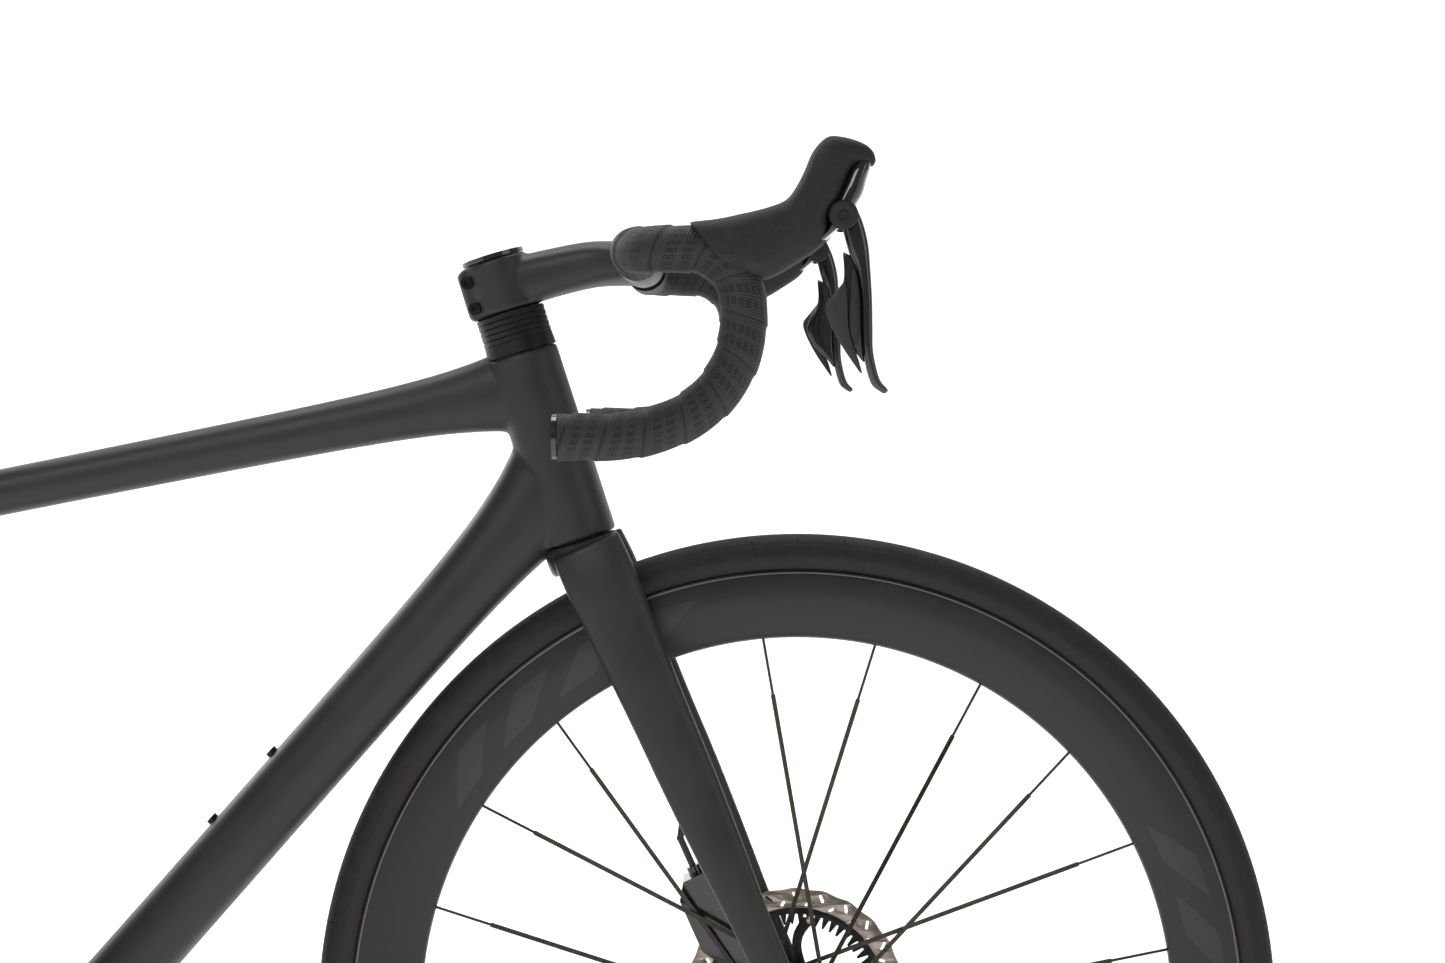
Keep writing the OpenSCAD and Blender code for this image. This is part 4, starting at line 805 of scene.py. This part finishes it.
def hoods():
    parts = []
    for side in (-1, 1):
        bm = bmesh.new()
        loft(bm, [side_section(p, side, 0.0, 2.7) for p in smooth_path(in_metres(HOOD_STATIONS), 6)], 48)
        parts.append(bm)
    return modified(joined("hoods", parts), "SUBSURF", levels=1, render_levels=1)


settle(hoods(), HOOD, "hood_rubber", "steering", "lever_hoods")


# ---- Levers: brackets, blades, their housings and the shift paddles, each a loft seen from the side ----

# Stations are (front x, front z, rear x, rear z, half width) in mm from the bar's shoulder
BRACKET = [
    (80, 57, 74, 61, 8), (79.4, 51, 66, 50, 13), (76.6, 42, 61, 39, 14.6), (74.4, 34, 56, 29, 15),
    (70, 26.5, 53, 19, 15), (62, 15, 48, 8, 14.5), (50, 4, 38, 2, 13),
]
BLADE = [
    (70, 27, 58.5, 19, 4.6), (74.6, 16.5, 62, 11, 5.5), (78, 3, 65.4, -1.5, 5.75),
    (79.4, -12, 70.2, -13, 5.75), (80.6, -32, 73.0, -30, 5.7), (80.9, -50, 73.7, -50, 5.5),
    (81.4, -65, 75.0, -66.5, 5.1), (85.1, -80.8, 79.2, -83.4, 4.1), (89.6, -86.8, 85.8, -89.6, 3.2),
    (90.7, -88.6, 88.8, -90.6, 2.0),
]
HOUSING = [
    (70, -6, 62, -1, 1.6), (72.2, -18, 62.6, -19, 2), (74, -30, 56.5, -32, 2), (74.3, -42, 54.4, -42, 2),
    (74.4, -52, 60, -54, 2), (75.4, -63, 68.5, -63, 2), (76, -71, 74.6, -70.6, 1.4),
]
FRONT_PADDLE = [
    (69.4, -12.4, 67.9, -13.4, 1.2), (71.2, -20, 66.8, -22, 1.8), (72.7, -32, 65.9, -34, 1.8),
    (73.1, -50, 66.1, -50, 1.8), (73.9, -60, 69, -60, 1.7), (74.5, -66.6, 72.6, -66, 1.1),
]
REAR_PADDLE = [
    (63.4, -19.2, 62.2, -21, 1.1), (64.6, -28, 56.4, -28.4, 1.7), (65.2, -37, 51, -36.2, 1.8),
    (65.5, -48, 54, -47, 1.8), (68.5, -60, 60.2, -59, 1.8), (71.6, -68.6, 66, -68, 1.6),
    (74.4, -78.4, 72.6, -77.4, 1.0),
]
BLADE_IN = -0.00075
HOUSING_IN = 0.001
PADDLE_IN = -0.0042


def lever_loft(bm, side, stations, inward):
    """One lever part on one side. inward is its middle's distance towards the stem from the hood's middle."""
    loft(bm, [side_section(p, side, inward, 2.6) for p in smooth_path(in_metres(stations), 7)], 36)


def lever_piece(name, side, *lofts):
    parts = []
    for stations, inward in lofts:
        bm = bmesh.new()
        lever_loft(bm, side, stations, inward)
        parts.append(bm)
    return modified(joined(name, parts), "SUBSURF", levels=1, render_levels=1)


def inlay_ribs(name, side):
    """Fine slanting ribs that stand on the front paddle's outer face."""
    parts = []
    for k in range(26):
        z = -0.0175 - 0.0017 * k
        half = 0.0026 * math.sin(math.pi * min(max((k + 3) / 30, 0), 1)) + 0.0004
        y = side * (BAR_HALF - PADDLE_IN + 0.00175)
        middle = LEVER + Vector((0.0695 + 0.00003 * k, y, z))
        bm = bmesh.new()
        reach = Vector((half, 0, half * 0.7))
        sweep(bm, [middle - reach, middle, middle + reach], 0.00035, 8, Z)
        parts.append(bm)
    return joined(name, parts)


PIVOT = joint_at("right_brake_pull")
PIVOT_R = 0.0092


# Half the section of a pivot cover: (radius, distance from the lever's middle)
PIVOT_COVER = [
    (0.0003, 0.0160), (0.0026, 0.0160), (0.0031, 0.0152), (0.0036, 0.0166), (PIVOT_R - 0.0012, 0.0164),
    (PIVOT_R, 0.0152), (PIVOT_R, 0.0122), (0.0003, 0.0122),
]


def pivot_cover(name, side):
    """A matte lug on both sides of the bracket, round the lever's pin, with a sunk screw at its middle."""
    parts = []
    middle = Vector((PIVOT.x, side * BAR_HALF, PIVOT.z))
    for out in (-1, 1):
        bm = bmesh.new()
        lathe(bm, [(r, out * y) for r, y in PIVOT_COVER], middle, 56)
        parts.append(bm)
    return joined(name, parts)


for side, hand in ((-1, "right"), (1, "left")):
    settle(pivot_cover(f"{hand}_pivot_cover", side), HOOD, "hood_rubber", "steering", "lever_brackets")
    body = lever_piece(f"{hand}_lever_body", side, (BRACKET, 0.0))
    settle(body, GLOSS, "gloss_plastic", "steering", "lever_brackets")
    blade = lever_piece(f"{hand}_brake_blade", side, (BLADE, BLADE_IN), (HOUSING, HOUSING_IN))
    settle(blade, GLOSS, "gloss_alloy", f"{hand}_lever", f"{hand}_brake_lever")
    front = lever_piece(f"{hand}_front_paddle", side, (FRONT_PADDLE, PADDLE_IN))
    settle(front, RIBBED, "button_plastic", f"{hand}_front_shift", f"{hand}_front_button")
    ribs = inlay_ribs(f"{hand}_front_paddle_ribs", side)
    settle(ribs, RIBBED, "button_plastic", f"{hand}_front_shift", f"{hand}_front_button")
    rear = lever_piece(f"{hand}_rear_paddle", side, (REAR_PADDLE, PADDLE_IN))
    settle(rear, PLASTIC, "button_plastic", f"{hand}_rear_shift", f"{hand}_rear_button")


# ---- Wheels: tyres with vent hairs, deep rims ----

def tyre(name, hub):
    outer = [math.radians(d) for d in range(-150, 151, 4)]

    def skin(section_r, angle):
        # A crown a little rounder than the section, and one fine groove on each shoulder
        groove = 0.0003 if abs(abs(math.degrees(angle)) - 54) < 2.5 else 0
        return (TYRE_MID_R + (section_r - groove) * math.cos(angle), (section_r - groove) * math.sin(angle))

    profile = [skin(TYRE_SECTION_R, a) for a in outer]
    profile += [skin(TYRE_SECTION_R - 0.0026, a) for a in reversed(outer[::3])]
    bm = bmesh.new()
    lathe(bm, profile, hub, 256)
    draw = random.Random(7)
    for k in range(64):
        turn = 2 * math.pi * k / 64
        for side in (-1, 1):
            lean = side * math.radians(draw.uniform(36, 48))
            out = Vector((math.cos(turn) * math.cos(lean), math.sin(lean), math.sin(turn) * math.cos(lean)))
            middle = hub + Vector((math.cos(turn), 0, math.sin(turn))) * TYRE_MID_R
            root = middle + out * (TYRE_SECTION_R - 0.0005)
            tip = root + out * draw.uniform(0.0018, 0.0032)
            tip += Vector((draw.uniform(-1, 1), 0, draw.uniform(-1, 1))) * 3e-4
            along = Vector((math.sin(turn), 0, -math.cos(turn)))
            sweep(bm, [root, root.lerp(tip, 0.5), tip], 0.00032, 5, along)
    return new_object(name, bm)


# One half of the rim's section, from the tyre's side to the spokes': (radius, y)
RIM_HALF = [
    (0.3085, 0.0), (0.3092, 0.0070), (0.3130, 0.0100), (0.3160, 0.0104), (0.3165, 0.0112), (0.3163, 0.0128),
    (0.3140, 0.0137), (0.3050, 0.0140), (0.2960, 0.0136), (0.2860, 0.0116), (0.2760, 0.0083),
    (0.2700, 0.0050), (0.2679, 0.0022),
]


def rim(name, hub):
    half = [tuple(p) for p in smooth_path(RIM_HALF, 3)][1:]
    profile = half + [(RIM_IN_R, 0.0)] + [(r, -y) for r, y in reversed(half)] + [(RIM_HALF[0][0], 0.0)]
    bm = bmesh.new()
    lathe(bm, profile, hub, 256)
    return new_object(name, bm)


for end, hub in (("front", FRONT_HUB), ("rear", REAR_HUB)):
    body = f"{end}_wheel"
    settle(tyre(f"{end}_tyre_skin", hub), tyre_material(f"{end}_tyre", hub), "tyre", body, f"{end}_tyre")
    settle(rim(f"{end}_rim_skin", hub), rim_material(f"{end}_rim", hub), "rim_carbon", body, f"{end}_rim")


# ---- Disc rotors: a steel track, black fins inside it and a spider with rivets ----

def circle(r, count=180, wave=0.0, waves=0):
    """A ring of points, whose radius dips by wave in each of its waves."""
    out = []
    for t in turns(0, 2 * math.pi, count)[:-1]:
        dip = wave * (0.5 - 0.5 * math.cos(waves * t))
        out.append(((r - dip) * math.cos(t), (r - dip) * math.sin(t)))
    return out


def slot_hole(r, turn, half_l, half_w, tilt):
    """A rounded slot at radius r."""
    out = []
    for k in range(16):
        a = 2 * math.pi * k / 16
        u = half_l * (1 if math.cos(a) > 0 else -1) + half_w * math.cos(a)
        v = half_w * math.sin(a)
        x = r + u * math.cos(tilt) - v * math.sin(tilt)
        y = u * math.sin(tilt) + v * math.cos(tilt)
        out.append((x * math.cos(turn) - y * math.sin(turn), x * math.sin(turn) + y * math.cos(turn)))
    return out


# A rivet's section: (radius, y)
RIVET = [
    (0.0002, -0.0026), (0.0026, -0.0026), (0.0032, -0.0020), (0.0032, 0.0020), (0.0026, 0.0026),
    (0.0002, 0.0026),
]


def rotor(end, hub, y, r, thick=0.0018):
    def place(u, v, w):
        return hub + Vector((u, y + w, v))

    count = 24
    holes = []
    for k in range(count):
        turn = 2 * math.pi * k / count
        holes.append(slot_hole(r - 0.0058, turn, 0.0022, 0.0011, math.radians(35)))
        holes.append(slot_hole(r - 0.0112, turn + math.pi / count, 0.0012, 0.0011, math.radians(-40)))
    edges = [circle(r, 240, 0.0011, count), circle(r - 0.0152, 240, 0.001, count)]
    track = joined(f"{end}_rotor_track", [flat_cut("track", edges + holes, thick, place)])
    bevelled(track, 0.00015, 1)
    settle(track, turned(f"{end}_rotor_bronze", hub, 0.2, 0.34, 0.3, 0.16), "rotor_steel", f"{end}_wheel",
           f"{end}_rotor")
    fin_in, fin_depth = r - 0.0265, 0.0075
    fins = []
    for k, t in enumerate(turns(0, 2 * math.pi, 240)[:-1]):
        edge = fin_in if k % 4 in (1, 2) else fin_in + fin_depth
        fins.append((edge * math.cos(t), edge * math.sin(t)))
    fin_ring = flat_cut("fins", [circle(r - 0.0146, 180), fins], 0.0028, place)
    arms = []
    for k in range(5):
        turn = 2 * math.pi * k / 5
        for share in turns(0, 1, 12):
            bend = math.sin(share * math.pi) * 0.22
            half = 0.0052 - 0.0018 * math.sin(share * math.pi)
            reach = 0.0155 + share * (r - 0.0215 - 0.0155)
            arms.append((reach, turn + bend + share * 0.12, half))
    spider = [fin_ring, flat_cut("ring", [circle(0.0225, 96), circle(0.0168, 96)], 0.0044, place)]
    for k in range(5):
        own = arms[13 * k : 13 * k + 13]
        left = [(a * math.cos(t) - h * math.sin(t), a * math.sin(t) + h * math.cos(t)) for a, t, h in own]
        right = [(a * math.cos(t) + h * math.sin(t), a * math.sin(t) - h * math.cos(t)) for a, t, h in own]
        spider.append(flat_cut("arm", [left + right[::-1]], 0.0036, place))
    carrier = bevelled(joined(f"{end}_rotor_carrier", spider), 0.0003, 1)
    settle(carrier, SATIN, "satin_black", f"{end}_wheel", f"{end}_rotor")
    rivets = []
    for k in range(5):
        a, t, h = arms[13 * k + 12]
        bm = bmesh.new()
        lathe(bm, RIVET, hub + Vector(((a - 0.001) * math.cos(t), y, (a - 0.001) * math.sin(t))), 24)
        rivets.append(bm)
    settle(joined(f"{end}_rotor_rivets", rivets), turned(f"{end}_rivet_bronze", hub, 0.3, 0.42, 0.25, 0.2),
           "rotor_steel", f"{end}_wheel", f"{end}_rotor")


rotor("front", FRONT_HUB, 0.044, 0.080)
rotor("rear", REAR_HUB, 0.056, 0.070)


# ---- Saddle: a crowned cover with a relief channel and a sewn seam along each side of it ----

cover_low, cover_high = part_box("saddle_cover")
SADDLE_SIDE = cover_high.y
NOSE_HALF = 0.018


def saddle_shape(share):
    """Half width, and rise of the middle, at a share of the way from nose to tail."""
    ease = min(max((share - 0.28) / 0.5, 0), 1)
    ease = ease * ease * (3 - 2 * ease)
    width = NOSE_HALF + (SADDLE_SIDE - NOSE_HALF) * ease
    ends = (1 - (1 - min(share / 0.07, 1)) ** 2) ** 0.5 * 0.8 + 0.2
    tail = (1 - (max(share - 0.9, 0) / 0.1) ** 2.2 * 0.72)
    rise = -0.003 * (1 - share) + 0.004 * max(share - 0.7, 0) / 0.3
    return width * ends * tail, rise


def saddle_point(share, across):
    """A point on the crowned top. across goes from -1 to 1."""
    width, rise = saddle_shape(share)
    x = cover_high.x + (cover_low.x - cover_high.x) * share
    crown = cover_high.z - 0.004 + rise - (0.010 + 0.004 * share) * abs(across) ** 2.6
    fade = math.sin(math.pi * min(max((share - 0.14) / 0.82, 0), 1))
    crown -= 0.0032 * fade * math.exp(-((across * width / 0.0075) ** 2))
    return Vector((x, across * width, crown))


def saddle():
    bm = bmesh.new()
    rings = []
    for i in range(57):
        share = i / 56
        width = saddle_shape(share)[0]
        x = cover_high.x + (cover_low.x - cover_high.x) * share
        top = [saddle_point(share, a) for a in turns(-1, 1, 34)]
        floor = cover_low.z + 0.0005
        under = [Vector((x, width * w, z)) for w, z in (
            (1.0, top[-1].z - 0.004), (0.985, floor + 0.003), (0.95, floor), (0.5, floor), (0.0, floor),
            (-0.5, floor), (-0.95, floor), (-0.985, floor + 0.003), (-1.0, top[0].z - 0.004))]
        rings.append([bm.verts.new(p) for p in top + under])
    bridge(bm, rings)
    return new_object("saddle_pad", bm, subdivisions=1)


pad = settle(saddle(), LEATHER, "saddle_leather", "frame", "saddle_cover")

stitches = []
for side in (-1, 1):
    for k in range(52):
        share = 0.17 + 0.0145 * k
        width = saddle_shape(share)[0]
        a, b = (saddle_point(share + d, side * 0.0155 / width) + Z * 0.00025 for d in (0, 0.0095))
        bm = bmesh.new()
        sweep(bm, [a - Z * 0.0006, a, a.lerp(b, 0.5) + Z * 0.0002, b, b - Z * 0.0006], 0.00032, 6)
        stitches.append(bm)
settle(joined("saddle_stitching", stitches), HOSE, "saddle_leather", "frame", "saddle_cover")


# ---- Studio: a pale floor, soft lights and the camera ----

def pale_floor():
    g = Graph("studio_floor")
    g.shader.inputs["Emission Color"].default_value = (1, 1, 1, 1)
    return g.done(g.blend(g.noise(3, 2), grey(0.88), grey(0.9)), 0.7, Emission_Strength=0.62)


def studio():
    bm = bmesh.new()
    wide, back, fold = 9.0, 4.5, 1.2
    profile = [(-9.0, 0.0), (back - fold, 0.0)]
    profile += [(back - fold + fold * math.sin(a), fold * (1 - math.cos(a)))
                for a in turns(0.1, math.pi / 2, 14)]
    profile += [(back, 7.0)]
    rings = [[bm.verts.new(Vector((x, y, z))) for x in (-wide, wide)] for y, z in profile]
    for a, b in zip(rings, rings[1:]):
        bm.faces.new((a[0], a[1], b[1], b[0]))
    floor = new_object("studio_floor", bm)
    floor.data.materials.append(pale_floor())


def area_light(name, place, target, size, power):
    light = bpy.data.lights.new(name, "AREA")
    light.shape = "RECTANGLE"
    light.size, light.size_y = size
    light.energy = power
    lamp = bpy.data.objects.new(name, light)
    lamp.location = place
    lamp.rotation_euler = (Vector(target) - Vector(place)).to_track_quat("-Z", "Y").to_euler()
    bpy.context.scene.collection.objects.link(lamp)


studio()
area_light("key", (-1.2, -3.2, 2.8), (0, 0, 0.5), (2.2, 1.4), 46)
area_light("fill", (3.4, -2.2, 1.8), (0.2, 0, 0.5), (2.0, 2.4), 18)
area_light("top", (0.0, 0.6, 3.4), (0, 0, 0.5), (3.0, 1.4), 58)
area_light("back", (-2.6, 3.0, 2.4), (0, 0, 0.6), (2.0, 2.0), 40)
world = bpy.data.worlds.new("studio_air")
world.use_nodes = True
world.node_tree.nodes["Background"].inputs["Color"].default_value = (1, 1, 1, 1)
world.node_tree.nodes["Background"].inputs["Strength"].default_value = 0.26
bpy.context.scene.world = world
bpy.context.scene.view_settings.view_transform = "Standard"

lens = bpy.data.cameras.new("camera")
lens.sensor_width = 36
lens.lens = 64.3
camera = bpy.data.objects.new("camera", lens)
camera.location = (0.432, -1.828, 0.787)
camera.rotation_euler = (math.radians(90 - 2.11), 0, math.radians(-0.09))
bpy.context.scene.collection.objects.link(camera)
bpy.context.scene.camera = camera
